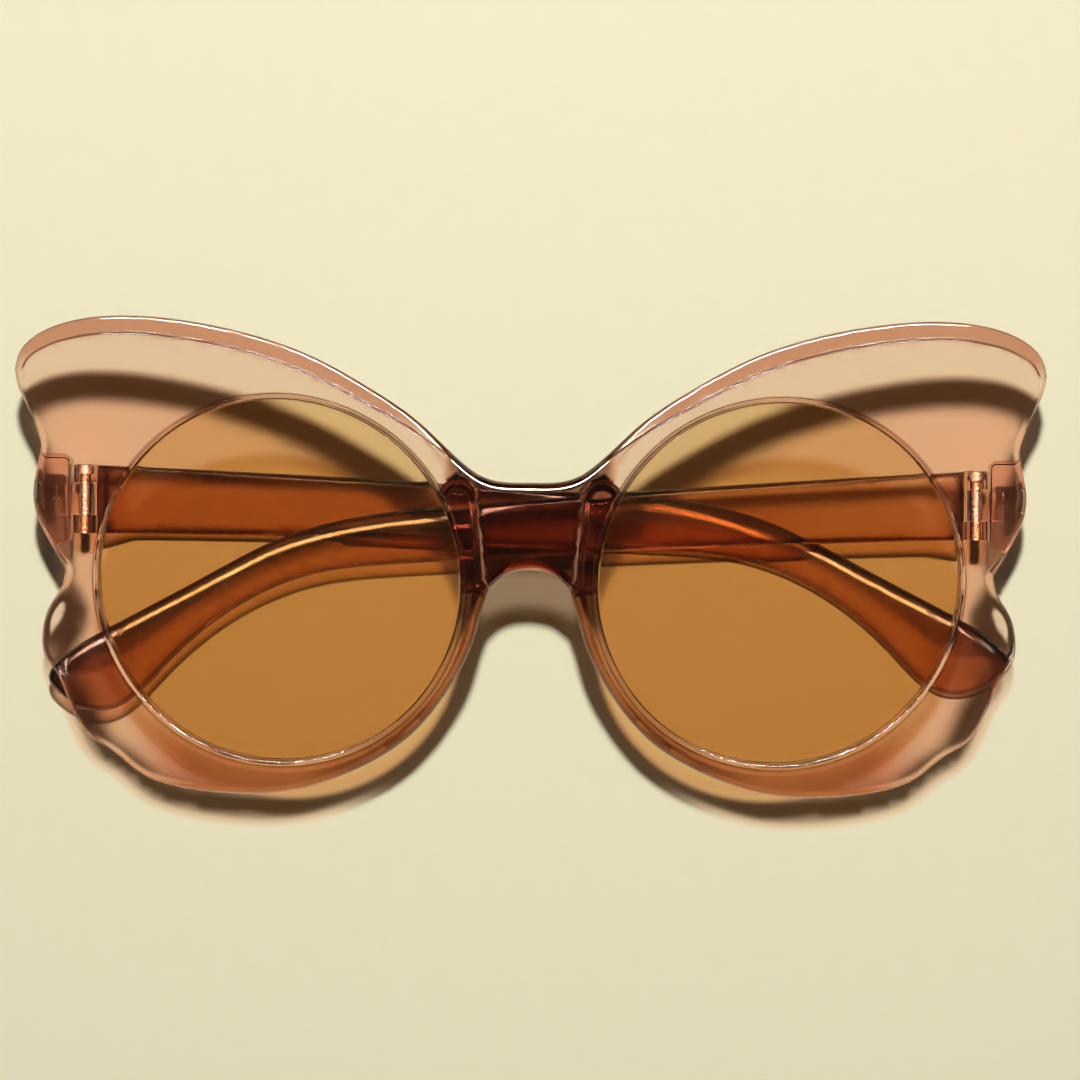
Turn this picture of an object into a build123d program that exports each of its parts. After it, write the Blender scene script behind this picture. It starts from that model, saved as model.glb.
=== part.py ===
from build123d import *

import os
from math import asin, cos, degrees, radians, sin, sqrt, tan

# Butterfly sunglasses, folded shut and lying face up on a table.
# +X is the wearer's left, +Y is the brow side, +Z is the way the face of the front looks.
# z = 0 is the table under the outer side of the wearer's right temple.

# Front, sized round its lens openings. The rims are measured above and below them, the wings
# from their outer sides to the wing tips. The front leans against the temples' plane by its tilt.
lens_opening = 53.0
bridge_width = 19.8
wing_width = 12.1
rim_above = 11.5
rim_below = 5.3
plate_thickness = 3.2
bow_radius = 400.0
front_tilt = 8.0
root_depth = 0.6
edge_round = 0.6
overrun = 5.0

# Brow step, the lowered band along the upper edge of each wing
brow_step_depth = 0.8

# Lenses and their seats
lens_thickness = 2.0
lens_dome = 0.6
groove_depth = 0.7
groove_width = 1.4
groove_floor = 0.5
lens_clearance = 0.05

# Nose pads, moulded with the front
pad_spread_top = 20.8
pad_spread_bottom = 17.4
pad_width_top = 4.0
pad_width_bottom = 2.8
pad_top = 11.4
pad_foot = -4.2
pad_round = 0.9
pad_clearance = 0.5

# Hinges
pin_inset = 9.7
pin_rise = 1.3
pin_clearance = 2.1
hinge_level = 8.75
knuckle_height = 4.5
knuckle_radius = 1.6
knuckle_gap = 0.1
end_gap = 1.8
stop_gap = 1.25
screw_diameter = 1.4
screw_clearance = 0.03
screw_head_diameter = 2.4
screw_head_height = 1.2
screw_head_recess = 1.4
screw_slot_width = 0.35
screw_slot_depth = 0.4

# End blocks behind the front, which carry the hinges
block_width = 3.8
block_margin = 1.25
block_gap = 0.2
block_round = 0.7
mould_dimple_diameter = 0.9
mould_dimple_depth = 0.8

# Temples
temple_length = 136.2
temple_height = 10.1
temple_thickness = 2.6
temple_gap = 0.3
temple_round = 0.9
boss_length = 7.0
boss_depth = 1.0
droop_left = 3.5
droop_right = 2.1

# Right half of the front's outline in six stretches, as shares of half its width and half its
# height. The first and the last cross the middle, so they are mirrored about their first point.
brow_line_shares = [
    (0.000, 0.331),
    (0.085, 0.350),
    (0.136, 0.424),
    (0.217, 0.585),
    (0.300, 0.706),
    (0.416, 0.841),
    (0.543, 0.934),
    (0.660, 0.982),
    (0.775, 1.000),
    (0.891, 0.971),
    (0.959, 0.908),
    (0.991, 0.835),
    (1.000, 0.764),
]
wing_side_shares = [
    (1.000, 0.764),
    (0.993, 0.690),
    (0.972, 0.599),
    (0.948, 0.455),
]
lump_shares = [
    (0.948, 0.455),
    (0.955, 0.380),
    (0.966, 0.250),
    (0.960, 0.160),
    (0.941, 0.070),
    (0.903, -0.069),
]
lobe_shares = [
    (0.903, -0.069),
    (0.911, -0.140),
    (0.935, -0.225),
    (0.951, -0.354),
    (0.944, -0.450),
    (0.921, -0.516),
    (0.904, -0.600),
    (0.886, -0.690),
]
lower_shares = [
    (0.886, -0.690),
    (0.859, -0.772),
    (0.817, -0.827),
    (0.755, -0.928),
    (0.677, -0.980),
    (0.563, -1.000),
    (0.445, -0.974),
    (0.368, -0.919),
    (0.291, -0.836),
    (0.239, -0.758),
    (0.177, -0.611),
    (0.132, -0.455),
    (0.109, -0.343),
    (0.091, -0.202),
    (0.078, -0.115),
]
arch_shares = [
    (0.000, -0.035),
    (0.042, -0.052),
    (0.078, -0.115),
]

# Lower line of the brow step, from the bridge to the wing tip
brow_shares = [
    (0.120, 0.480),
    (0.300, 0.672),
    (0.444, 0.806),
    (0.600, 0.898),
    (0.755, 0.932),
    (0.871, 0.917),
    (0.948, 0.853),
    (0.979, 0.775),
]

# Temple outline from the top of its hinge end round the tip to the bottom of its hinge end,
# as shares of its length and its height
temple_shares = [
    (0.226, 0.485),
    (0.564, 0.400),
    (0.670, 0.305),
    (0.744, 0.085),
    (0.832, -0.446),
    (0.934, -1.109),
    (0.979, -1.455),
    (1.000, -1.802),
    (0.986, -2.069),
    (0.957, -2.287),
    (0.927, -2.297),
    (0.876, -1.772),
    (0.788, -0.861),
    (0.712, -0.495),
    (0.619, -0.411),
    (0.406, -0.396),
]

opening_radius = lens_opening / 2
lens_x = bridge_width / 2 + opening_radius
lens_drop = (rim_above - rim_below) / 2
half_width = lens_x + opening_radius + wing_width
half_height = (rim_above + lens_opening + rim_below) / 2
lens_radius = opening_radius - lens_clearance
wrap = asin(lens_x / bow_radius)
stack_step = temple_thickness + temple_gap
stack_top = stack_step + temple_thickness
pad_back = stack_top + pad_clearance
pin_x = half_width - pin_inset
block_inner = pin_x + knuckle_radius + block_gap
block_tall = temple_height + 2 * block_margin
hinge_top = hinge_level + temple_height / 2
hinge_bottom = hinge_level - temple_height / 2
knuckle_top = hinge_level + knuckle_height / 2
knuckle_bottom = hinge_level - knuckle_height / 2

# The inner temple (wearer's left) folds first and lies on the outer one (wearer's right). Half of
# the step between them is in the depth of the pins, half in the offset of the temples' lugs.
sides = {"left": 1, "right": -1}
upper_pin = stack_top + pin_rise
temple_levels = {"left": stack_step, "right": 0}
pin_levels = {"left": upper_pin, "right": upper_pin - stack_step / 2}
droops = {"left": droop_left, "right": droop_right}

# The front is made level, its back clear of the upper pin's knuckles, and then tilted about a line
# that lies across it at the height of its lenses.
plate_back = upper_pin + knuckle_radius + pin_clearance
face_height = plate_back + bow_radius - sqrt((bow_radius - plate_thickness) ** 2 - pin_x**2)
lens_level = face_height - bow_radius + (bow_radius - plate_thickness / 2) * cos(wrap)
tilt_axis = Axis((0, hinge_level, lens_level), (1, 0, 0))


def bow_level(x, depth):
    """Height at x of the bowed surface that lies depth below the face of the level front."""
    radius = bow_radius - depth
    return face_height - bow_radius + sqrt(radius**2 - x**2)


def bow_sheet(depth, thickness):
    """Bowed sheet right across the front, from depth to depth + thickness below its face."""
    reach = half_width + overrun
    with BuildPart() as sheet:
        with BuildSketch(Plane.XZ):
            with BuildLine():
                ThreePointArc(
                    (-reach, bow_level(reach, depth)),
                    (0, bow_level(0, depth)),
                    (reach, bow_level(reach, depth)),
                )
                Line(
                    (reach, bow_level(reach, depth)),
                    (reach, bow_level(reach, depth + thickness)),
                )
                ThreePointArc(
                    (reach, bow_level(reach, depth + thickness)),
                    (0, bow_level(0, depth + thickness)),
                    (-reach, bow_level(reach, depth + thickness)),
                )
                Line(
                    (-reach, bow_level(reach, depth + thickness)),
                    (-reach, bow_level(reach, depth)),
                )
            make_face()
        extrude(amount=half_height + overrun, both=True)
    return sheet.part


def lens_plane(side):
    """Plane of a lens at the middle of its thickness, square to the level front there."""
    middle = bow_radius - plate_thickness / 2
    centre = (side * middle * sin(wrap), -lens_drop, lens_level)
    return Plane(
        origin=centre,
        x_dir=(cos(wrap), 0, -side * sin(wrap)),
        z_dir=(side * sin(wrap), 0, cos(wrap)),
    )


def lens_section(side):
    """Plane through the lens's axis, with its local Y along that axis."""
    seat = lens_plane(side)
    return Plane(origin=seat.origin, x_dir=seat.x_dir, z_dir=(0, -1, 0))


def across(level):
    """Plane square to the hinge pins at a given level, facing the feet of the front."""
    return Plane(origin=(0, level, 0), x_dir=(1, 0, 0), z_dir=(0, -1, 0))


def front_points(shares, side):
    return [(side * x * half_width, y * half_height) for x, y in shares]


def temple_point(side, along, up, droop):
    """Point of a temple, along it from the pin and up from its middle line."""
    return (side * (pin_x - along), hinge_level + up - along * tan(radians(droop)))


plate_sheet = bow_sheet(0, plate_thickness)
step_sheet = bow_sheet(-overrun, overrun + brow_step_depth)
backing = bow_sheet(plate_thickness - root_depth, face_height).rotate(tilt_axis, front_tilt)

# The band that is cut from the face along the upper edge of each wing
with BuildPart() as brow_step:
    for side in sides.values():
        with BuildSketch() as band:
            with BuildLine():
                lower = Spline(front_points(brow_shares, side))
                Polyline(
                    lower @ 1,
                    (side * (half_width + overrun), (lower @ 1).Y),
                    (side * (half_width + overrun), half_height + overrun),
                    ((lower @ 0).X, half_height + overrun),
                    lower @ 0,
                )
            make_face()
        extrude(amount=face_height + overrun)
    add(step_sheet, mode=Mode.INTERSECT)

# Bowed plate of the front with its lens seats, made level
with BuildPart() as plate:
    with BuildSketch() as outline:
        with BuildLine():
            for shares in (brow_line_shares, arch_shares):
                right_points = front_points(shares, 1)
                left_points = front_points(shares[1:], -1)[::-1]
                Spline([*left_points, *right_points])
            for shares in (wing_side_shares, lump_shares, lobe_shares, lower_shares):
                for side in sides.values():
                    Spline(front_points(shares, side))
        make_face()
    extrude(amount=face_height + overrun)
    add(plate_sheet, mode=Mode.INTERSECT)
    bowed_faces = plate.faces().filter_by(GeomType.CYLINDER)
    fillet(bowed_faces.sort_by(Axis.Z)[-1].edges(), radius=edge_round)
    add(brow_step.part, mode=Mode.SUBTRACT)

    # Lens openings and their grooves
    for side in sides.values():
        seat = lens_plane(side)
        with BuildSketch(seat):
            Circle(opening_radius)
        extrude(amount=face_height, both=True, mode=Mode.SUBTRACT)
        with BuildSketch(lens_section(side)):
            with BuildLine():
                Polyline(
                    (opening_radius - overrun, groove_width / 2),
                    (opening_radius, groove_width / 2),
                    (opening_radius + groove_depth, groove_floor / 2),
                    (opening_radius + groove_depth, -groove_floor / 2),
                    (opening_radius, -groove_width / 2),
                    (opening_radius - overrun, -groove_width / 2),
                    close=True,
                )
            make_face()
        revolve(axis=Axis(seat.origin, seat.z_dir), mode=Mode.SUBTRACT)

# Nose pads, tapered columns on the back of the bridge
with BuildPart() as pads:
    for side in sides.values():
        with BuildSketch(Plane.XY.offset(pad_back)):
            top_radius = pad_width_top / 2
            foot_radius = pad_width_bottom / 2
            with Locations((side * pad_spread_top / 2, pad_top - top_radius)):
                Circle(top_radius)
            with Locations((side * pad_spread_bottom / 2, pad_foot + foot_radius)):
                Circle(foot_radius)
            make_hull()
        extrude(amount=face_height)
    fillet(pads.faces().filter_by(Axis.Z).sort_by(Axis.Z)[:2].edges(), radius=pad_round)
    add(backing, mode=Mode.INTERSECT)

# End blocks on the back of the wings
with BuildPart() as end_blocks:
    for name, side in sides.items():
        with BuildSketch(Plane.XY.offset(pin_levels[name] - stop_gap)):
            with Locations((side * (block_inner + block_width / 2), hinge_level)):
                RectangleRounded(block_width, block_tall, block_round)
        extrude(amount=face_height)
    add(backing, mode=Mode.INTERSECT)

# Front: tilted plate, nose pads, end blocks and the middle knuckles, moulded in one
with BuildPart() as frame_front:
    add(plate.part.rotate(tilt_axis, front_tilt))
    add(pads.part)
    add(end_blocks.part)
    for name, side in sides.items():
        pin_z = pin_levels[name]
        block_x = block_inner + block_width / 2
        stop_z = pin_z - stop_gap
        with BuildSketch(across(knuckle_top)):
            with Locations((side * pin_x, pin_z)):
                Circle(knuckle_radius)
            web_length = knuckle_radius + block_gap + block_width / 2
            web_height = knuckle_radius + stop_gap
            with Locations((side * (pin_x + web_length / 2), stop_z + web_height / 2)):
                Rectangle(web_length, web_height)
        extrude(amount=knuckle_height)
        with BuildSketch(across(knuckle_top + overrun)):
            with Locations((side * pin_x, pin_z)):
                Circle(screw_diameter / 2 + screw_clearance)
        extrude(amount=knuckle_height + 2 * overrun, mode=Mode.SUBTRACT)
        with BuildSketch(Plane.XY.offset(stop_z)):
            with Locations((side * block_x, hinge_level)):
                Circle(mould_dimple_diameter / 2)
        extrude(amount=mould_dimple_depth, mode=Mode.SUBTRACT)
frame_front.part.label = "frame_front"


def build_lens(side):
    """Domed lens with a bevelled rim that snaps into its groove."""
    half = lens_thickness / 2
    bevel = groove_width / 2 - lens_clearance
    tip = opening_radius + groove_depth - lens_clearance
    floor = groove_floor / 2 - lens_clearance
    seat = lens_plane(side)
    with BuildPart() as lens:
        with BuildSketch(lens_section(side)):
            with BuildLine():
                TangentArc((0, lens_dome + half), (lens_radius, half), tangent=(1, 0))
                Polyline(
                    (lens_radius, half),
                    (lens_radius, bevel),
                    (tip, floor),
                    (tip, -floor),
                    (lens_radius, -bevel),
                    (lens_radius, -half),
                )
                TangentArc((0, lens_dome - half), (lens_radius, -half), tangent=(1, 0))
                Line((0, lens_dome - half), (0, lens_dome + half))
            make_face()
        revolve(axis=Axis(seat.origin, seat.z_dir))
    return lens.part.rotate(tilt_axis, front_tilt)


def build_temple(name):
    """Temple with its curved ear end, hinge boss and the outer two knuckles."""
    side = sides[name]
    level = temple_levels[name]
    pin_z = pin_levels[name]
    droop = droops[name]
    half_tall = temple_height / 2
    top_end = temple_point(side, end_gap, half_tall, 0)
    bottom_end = temple_point(side, end_gap, -half_tall, 0)
    curve = [
        temple_point(side, x * temple_length, y * temple_height, droop)
        for x, y in temple_shares
    ]
    with BuildPart() as temple:
        with BuildSketch(Plane.XY.offset(level)):
            with BuildLine():
                Spline([top_end, *curve, bottom_end])
                Line(bottom_end, top_end)
            make_face()
        extrude(amount=temple_thickness)
        fillet(temple.edges().filter_by(GeomType.BSPLINE), radius=temple_round)

        # Boss on the inner side, which raises the end to the height of the pin
        inner = level + temple_thickness
        start_x = side * (pin_x - end_gap)
        finish_x = side * (pin_x - boss_length)
        with BuildSketch(across(hinge_top)):
            with BuildLine():
                Polyline(
                    (start_x, pin_z + knuckle_radius / 2),
                    (start_x, inner - boss_depth),
                    (finish_x, inner - boss_depth),
                    (finish_x, inner),
                    close=True,
                )
            make_face()
        extrude(amount=temple_height)

        # Outer knuckles, one each side of the middle one
        for top, tall in (
            (hinge_top, hinge_top - knuckle_top - knuckle_gap),
            (knuckle_bottom - knuckle_gap, knuckle_bottom - knuckle_gap - hinge_bottom),
        ):
            with BuildSketch(across(top)):
                with Locations((side * pin_x, pin_z)):
                    Circle(knuckle_radius)
                with BuildLine():
                    Polyline(
                        (side * pin_x, pin_z + knuckle_radius),
                        (start_x, pin_z + knuckle_radius / 2),
                        (start_x, inner - boss_depth),
                        (start_x, pin_z - knuckle_radius),
                        (side * pin_x, pin_z - knuckle_radius),
                        close=True,
                    )
                make_face()
            extrude(amount=tall)
        with BuildSketch(across(hinge_top + overrun)):
            with Locations((side * pin_x, pin_z)):
                Circle(screw_diameter / 2 + screw_clearance)
        extrude(amount=temple_height + 2 * overrun, mode=Mode.SUBTRACT)
        with BuildSketch(across(hinge_top)):
            with Locations((side * pin_x, pin_z)):
                Circle(screw_head_diameter / 2 + screw_clearance)
        extrude(amount=screw_head_recess, mode=Mode.SUBTRACT)
    return temple.part


def build_screw(name):
    """Slotted hinge screw, its head sunk in the upper knuckle."""
    side = sides[name]
    pin_z = pin_levels[name]
    head_top = hinge_top - screw_head_recess + screw_head_height
    with BuildPart() as screw:
        with BuildSketch(across(head_top)):
            with Locations((side * pin_x, pin_z)):
                Circle(screw_head_diameter / 2)
        extrude(amount=screw_head_height)
        with BuildSketch(across(head_top)):
            with Locations((side * pin_x, pin_z)):
                Circle(screw_diameter / 2)
        extrude(amount=head_top - hinge_bottom)
        with BuildSketch(across(head_top)):
            with Locations((side * pin_x, pin_z)):
                Rectangle(screw_head_diameter + overrun, screw_slot_width)
        extrude(amount=screw_slot_depth, mode=Mode.SUBTRACT)
    return screw.part


os.makedirs("parts", exist_ok=True)
pieces = [frame_front.part]
for name, side in sides.items():
    lens = build_lens(side)
    lens.label = f"lens_{name}"
    temple = build_temple(name)
    temple.label = f"temple_{name}"
    screw = build_screw(name)
    screw.label = f"hinge_screw_{name}"
    pieces += [lens, temple, screw]
for piece in pieces:
    export_step(piece, f"parts/{piece.label}.step")
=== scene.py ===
import logging
import math
from collections.abc import Callable
from dataclasses import dataclass
from enum import Enum

import bpy
import numpy as np
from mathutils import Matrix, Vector
from mathutils.geometry import delaunay_2d_cdt
from mathutils.kdtree import KDTree


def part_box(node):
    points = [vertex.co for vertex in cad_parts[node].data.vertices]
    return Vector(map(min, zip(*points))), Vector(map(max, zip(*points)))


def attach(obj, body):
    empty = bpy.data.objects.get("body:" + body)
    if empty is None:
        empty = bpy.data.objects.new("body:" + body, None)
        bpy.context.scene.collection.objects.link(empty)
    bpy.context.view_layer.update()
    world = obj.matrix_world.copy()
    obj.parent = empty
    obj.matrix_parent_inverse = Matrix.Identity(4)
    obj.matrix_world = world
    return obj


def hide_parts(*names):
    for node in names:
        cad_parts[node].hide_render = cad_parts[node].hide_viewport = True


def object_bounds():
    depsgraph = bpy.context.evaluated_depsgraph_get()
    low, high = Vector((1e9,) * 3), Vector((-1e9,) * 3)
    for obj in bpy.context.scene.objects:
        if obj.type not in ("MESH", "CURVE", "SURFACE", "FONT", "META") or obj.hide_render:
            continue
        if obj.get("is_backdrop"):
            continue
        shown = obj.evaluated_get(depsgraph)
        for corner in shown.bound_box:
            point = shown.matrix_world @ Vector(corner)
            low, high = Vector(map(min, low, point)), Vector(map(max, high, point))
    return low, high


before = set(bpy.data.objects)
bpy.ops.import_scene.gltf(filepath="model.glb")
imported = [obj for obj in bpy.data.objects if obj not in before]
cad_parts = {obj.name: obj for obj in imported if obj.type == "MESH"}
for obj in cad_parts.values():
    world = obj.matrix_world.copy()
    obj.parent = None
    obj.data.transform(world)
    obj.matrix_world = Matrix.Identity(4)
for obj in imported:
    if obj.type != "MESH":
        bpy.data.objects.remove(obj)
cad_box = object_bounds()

# Butterfly sunglasses, folded shut and lying face up on a pale table.
# Shapes are worked out in millimetres and turned into metres as each mesh is made.
# +X is the wearer's left, +Y is the brow side, +Z is the way the face of the front looks.

log = logging.getLogger("sunglasses")

MM = 0.001
Array = np.ndarray
Colour = tuple[float, float, float]
Rule = Callable[[Array], Array]
Pair = tuple[float, float]
Join = tuple[bpy.types.Node, str | int, bpy.types.Node, str | int]

# Distance between the points of the drawn lines, and the widest slack that a row of points beside
# such a line, or a corner of the line, may have. All these are in millimetres.
STEP = 0.45
RING_SLACK = 0.03
CORNER_SLACK = 1e-9

# A surface's points: the least distance of its rows from its rims, the distance at which two points
# become one, and the share of the spacing that its filling points keep from the rest.
MINIMUM_GAP = 0.004
MERGE_GAP = 1e-5
FILL_SHARE = 0.55

# Rounds in which a lens opening's rim is fitted to the surface that it cuts, and directions in which
# a line round circles is drawn.
RIM_ROUNDS = 6
HULL_TURNS = 720

# How often light may turn on its way, and how often within clear pieces.
MOST_BOUNCES = 24
CLEAR_BOUNCES = 20

# Where the rows of points lie: shares of a rounding's radius, then millimetres from an edge.
ROUND_ROWS = (0.015, 0.06, 0.14, 0.26, 0.42, 0.6, 0.8, 1.0)
BARREL_ROWS = (0.05, 0.3, 1.0)
LENS_ROWS = (0.05, 0.2, 0.5, 1.0)
TEMPLE_ROWS = (0.02, 0.08, 0.2, 0.4, 0.7, 1.0, 1.3)
CREASE_ROWS = (-0.75, -0.7, -0.6, -0.5, -0.4, -0.3, -0.1)
OPENING_ROWS = (0.01, 0.03, 0.07, 0.13, 0.2, 0.3, 0.45, 0.7, 0.78, 0.9, 1.0, 1.2, 1.6, 1.8, 2.2)
PAD_ROWS = (-0.6, -0.45, -0.3, -0.15, 0.0, 0.05, 0.15, 0.3, 0.55, 0.9)
BLOCK_ROWS = (-0.2, -0.15, -0.1, -0.05, 0.0, 0.03, 0.1, 0.2, 0.4)
DIMPLE_ROWS = (-0.1, -0.04, -0.02, 0, 0.02, 0.04, 0.1)


class Side(Enum):
    """The wearer's left or right, as the sign of X."""

    LEFT = 1
    RIGHT = -1

    @property
    def word(self) -> str:
        """The side as the node names spell it."""
        return self.name.lower()


def box_mm(node: str) -> tuple[Array, Array]:
    """Lowest and highest corner of a CAD node, in millimetres."""
    low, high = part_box(node)
    return np.array(low) / MM, np.array(high) / MM


def smooth_curve(points: Array, step: float) -> Array:
    """Draws a natural cubic curve through points.

    Args:
        points: Rows of x, y and any further values, which follow straight between the points.
        step: Distance between the samples.

    Returns:
        Rows like those given, at even steps along the curve.
    """
    points = np.asarray(points, float)
    count = len(points)
    chords = np.linalg.norm(np.diff(points[:, :2], axis=0), axis=1)
    knots = np.concatenate([[0], np.cumsum(chords)])
    system = np.eye(count)
    pull = np.zeros((count, 2))
    slopes = np.diff(points[:, :2], axis=0) / chords[:, None]
    for i in range(1, count - 1):
        system[i, i - 1 : i + 2] = chords[i - 1], 2 * (chords[i - 1] + chords[i]), chords[i]
        pull[i] = 6 * (slopes[i] - slopes[i - 1])
    bend = np.linalg.solve(system, pull)
    samples = np.linspace(0, knots[-1], max(2, round(knots[-1] / step) + 1))
    span = np.clip(np.searchsorted(knots, samples) - 1, 0, count - 2)
    length = chords[span][:, None]
    before = (knots[span + 1] - samples)[:, None] / length
    after = 1 - before
    curve = before * points[span, :2] + after * points[span + 1, :2]
    curve += ((before**3 - before) * bend[span] + (after**3 - after) * bend[span + 1]) * length**2 / 6
    extra = [np.interp(samples, knots, column) for column in points[:, 2:].T]
    return np.column_stack([curve, *extra])


def even_loop(points: Array, step: float) -> Array:
    """Samples a closed line again at even steps.

    Args:
        points: Corners of the line, without the first one repeated.
        step: Distance between the samples.

    Returns:
        Points along the same line.
    """
    closed = np.vstack([points, points[:1]])
    knots = np.concatenate([[0], np.cumsum(np.linalg.norm(np.diff(closed[:, :2], axis=0), axis=1))])
    samples = np.linspace(0, knots[-1], round(knots[-1] / step), endpoint=False)
    return np.column_stack([np.interp(samples, knots, column) for column in closed.T])


def hull_loop(circles: list[tuple[float, float, float]], step: float) -> Array:
    """Draws the line round a group of circles, as a belt would run.

    Args:
        circles: Centre x, centre y and radius of each circle.
        step: Distance between the samples.

    Returns:
        Points of the anticlockwise line.
    """
    rings = np.array(circles)
    angles = np.linspace(0, 2 * math.pi, HULL_TURNS, endpoint=False)
    away = np.column_stack([np.cos(angles), np.sin(angles)])
    touched = np.argmax(away @ rings[:, :2].T + rings[:, 2], axis=1)
    return even_loop(rings[touched, :2] + rings[touched, 2:] * away, step)


class Outline:
    """Closed anticlockwise line that knows how far inside it a point lies."""

    def __init__(self, points: Array, traits: Array | None = None) -> None:
        """Prepares the line.

        Args:
            points: Its points, evenly spaced.
            traits: Rows of values that change along the line, one row for each point.
        """
        self.points = points
        self.traits = np.zeros((len(points), 1)) if traits is None else traits
        self.steps = np.roll(points, -1, axis=0) - points
        along = np.roll(points, -1, axis=0) - np.roll(points, 1, axis=0)
        along /= np.linalg.norm(along, axis=1)[:, None]
        self.inward_normals = np.column_stack([-along[:, 1], along[:, 0]])
        self.tree = KDTree(len(points))
        for i, (x, y) in enumerate(points):
            self.tree.insert((x, y, 0), i)
        self.tree.balance()

    def inside(self, spots: Array) -> tuple[Array, Array]:
        """Measures points against the line.

        Args:
            spots: Rows of x and y.

        Returns:
            How far inside the line each point lies, less than 0 outside it, and a row of each trait.
        """
        nearest = np.array([self.tree.find((x, y, 0))[1] for x, y in spots])
        best = np.full(len(spots), np.inf)
        depth = np.zeros(len(spots))
        for start in (nearest - 1, nearest):
            start = start % len(self.points)
            leg = self.steps[start]
            lead = spots - self.points[start]
            share = np.clip((lead * leg).sum(1) / (leg**2).sum(1), 0, 1)
            gap = lead - share[:, None] * leg
            far = np.linalg.norm(gap, axis=1)
            turn = leg[:, 0] * lead[:, 1] - leg[:, 1] * lead[:, 0]
            closer = far < best
            depth[closer] = np.where(turn >= 0, far, -far)[closer]
            best = np.minimum(best, far)
        # Where a corner is nearest, its own normal tells the side, because both legs may mislead.
        lead = spots - self.points[nearest]
        far = np.linalg.norm(lead, axis=1)
        beside = best >= far - CORNER_SLACK
        inward = (lead * self.inward_normals[nearest]).sum(1) >= 0
        depth[beside] = np.where(inward, far, -far)[beside]
        return depth, self.traits[nearest].T

    def ring(self, depths: Array | float) -> Array:
        """Finds the points at given depths inside the line.

        Args:
            depths: One depth, or one for each point of the line.

        Returns:
            The points, without those that lie nearer to another part of the line.
        """
        depths = np.broadcast_to(depths, len(self.points))
        spots = self.points + self.inward_normals * depths[:, None]
        found, _ = self.inside(spots)
        return spots[np.abs(found - depths) < RING_SLACK]


def rounded(depth: Array, radius: Array | float) -> Array:
    """Drop of a quarter-round edge at a depth inside it."""
    left = np.clip(radius - depth, 0, radius)
    return radius - np.sqrt(np.maximum(np.square(radius) - left**2, 0))


def soft_ramp(value: Array, softness: float) -> Array:
    """The value where it is above 0 and 0 elsewhere, with the corner between them softened."""
    return (value + np.sqrt(value**2 + softness**2)) / 2


def on_lines(lines: list[Pair], value: Array) -> Array:
    """Reads a table of places and shades, straight between its rows."""
    places, shades = np.array(lines).T
    return np.interp(value, places, shades)


def smooth_step(value: Array, start: float, end: float) -> Array:
    """Rises from 0 at start to 1 at end with level ends."""
    share = np.clip((value - start) / (end - start), 0, 1)
    return share**2 * (3 - 2 * share)


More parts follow.
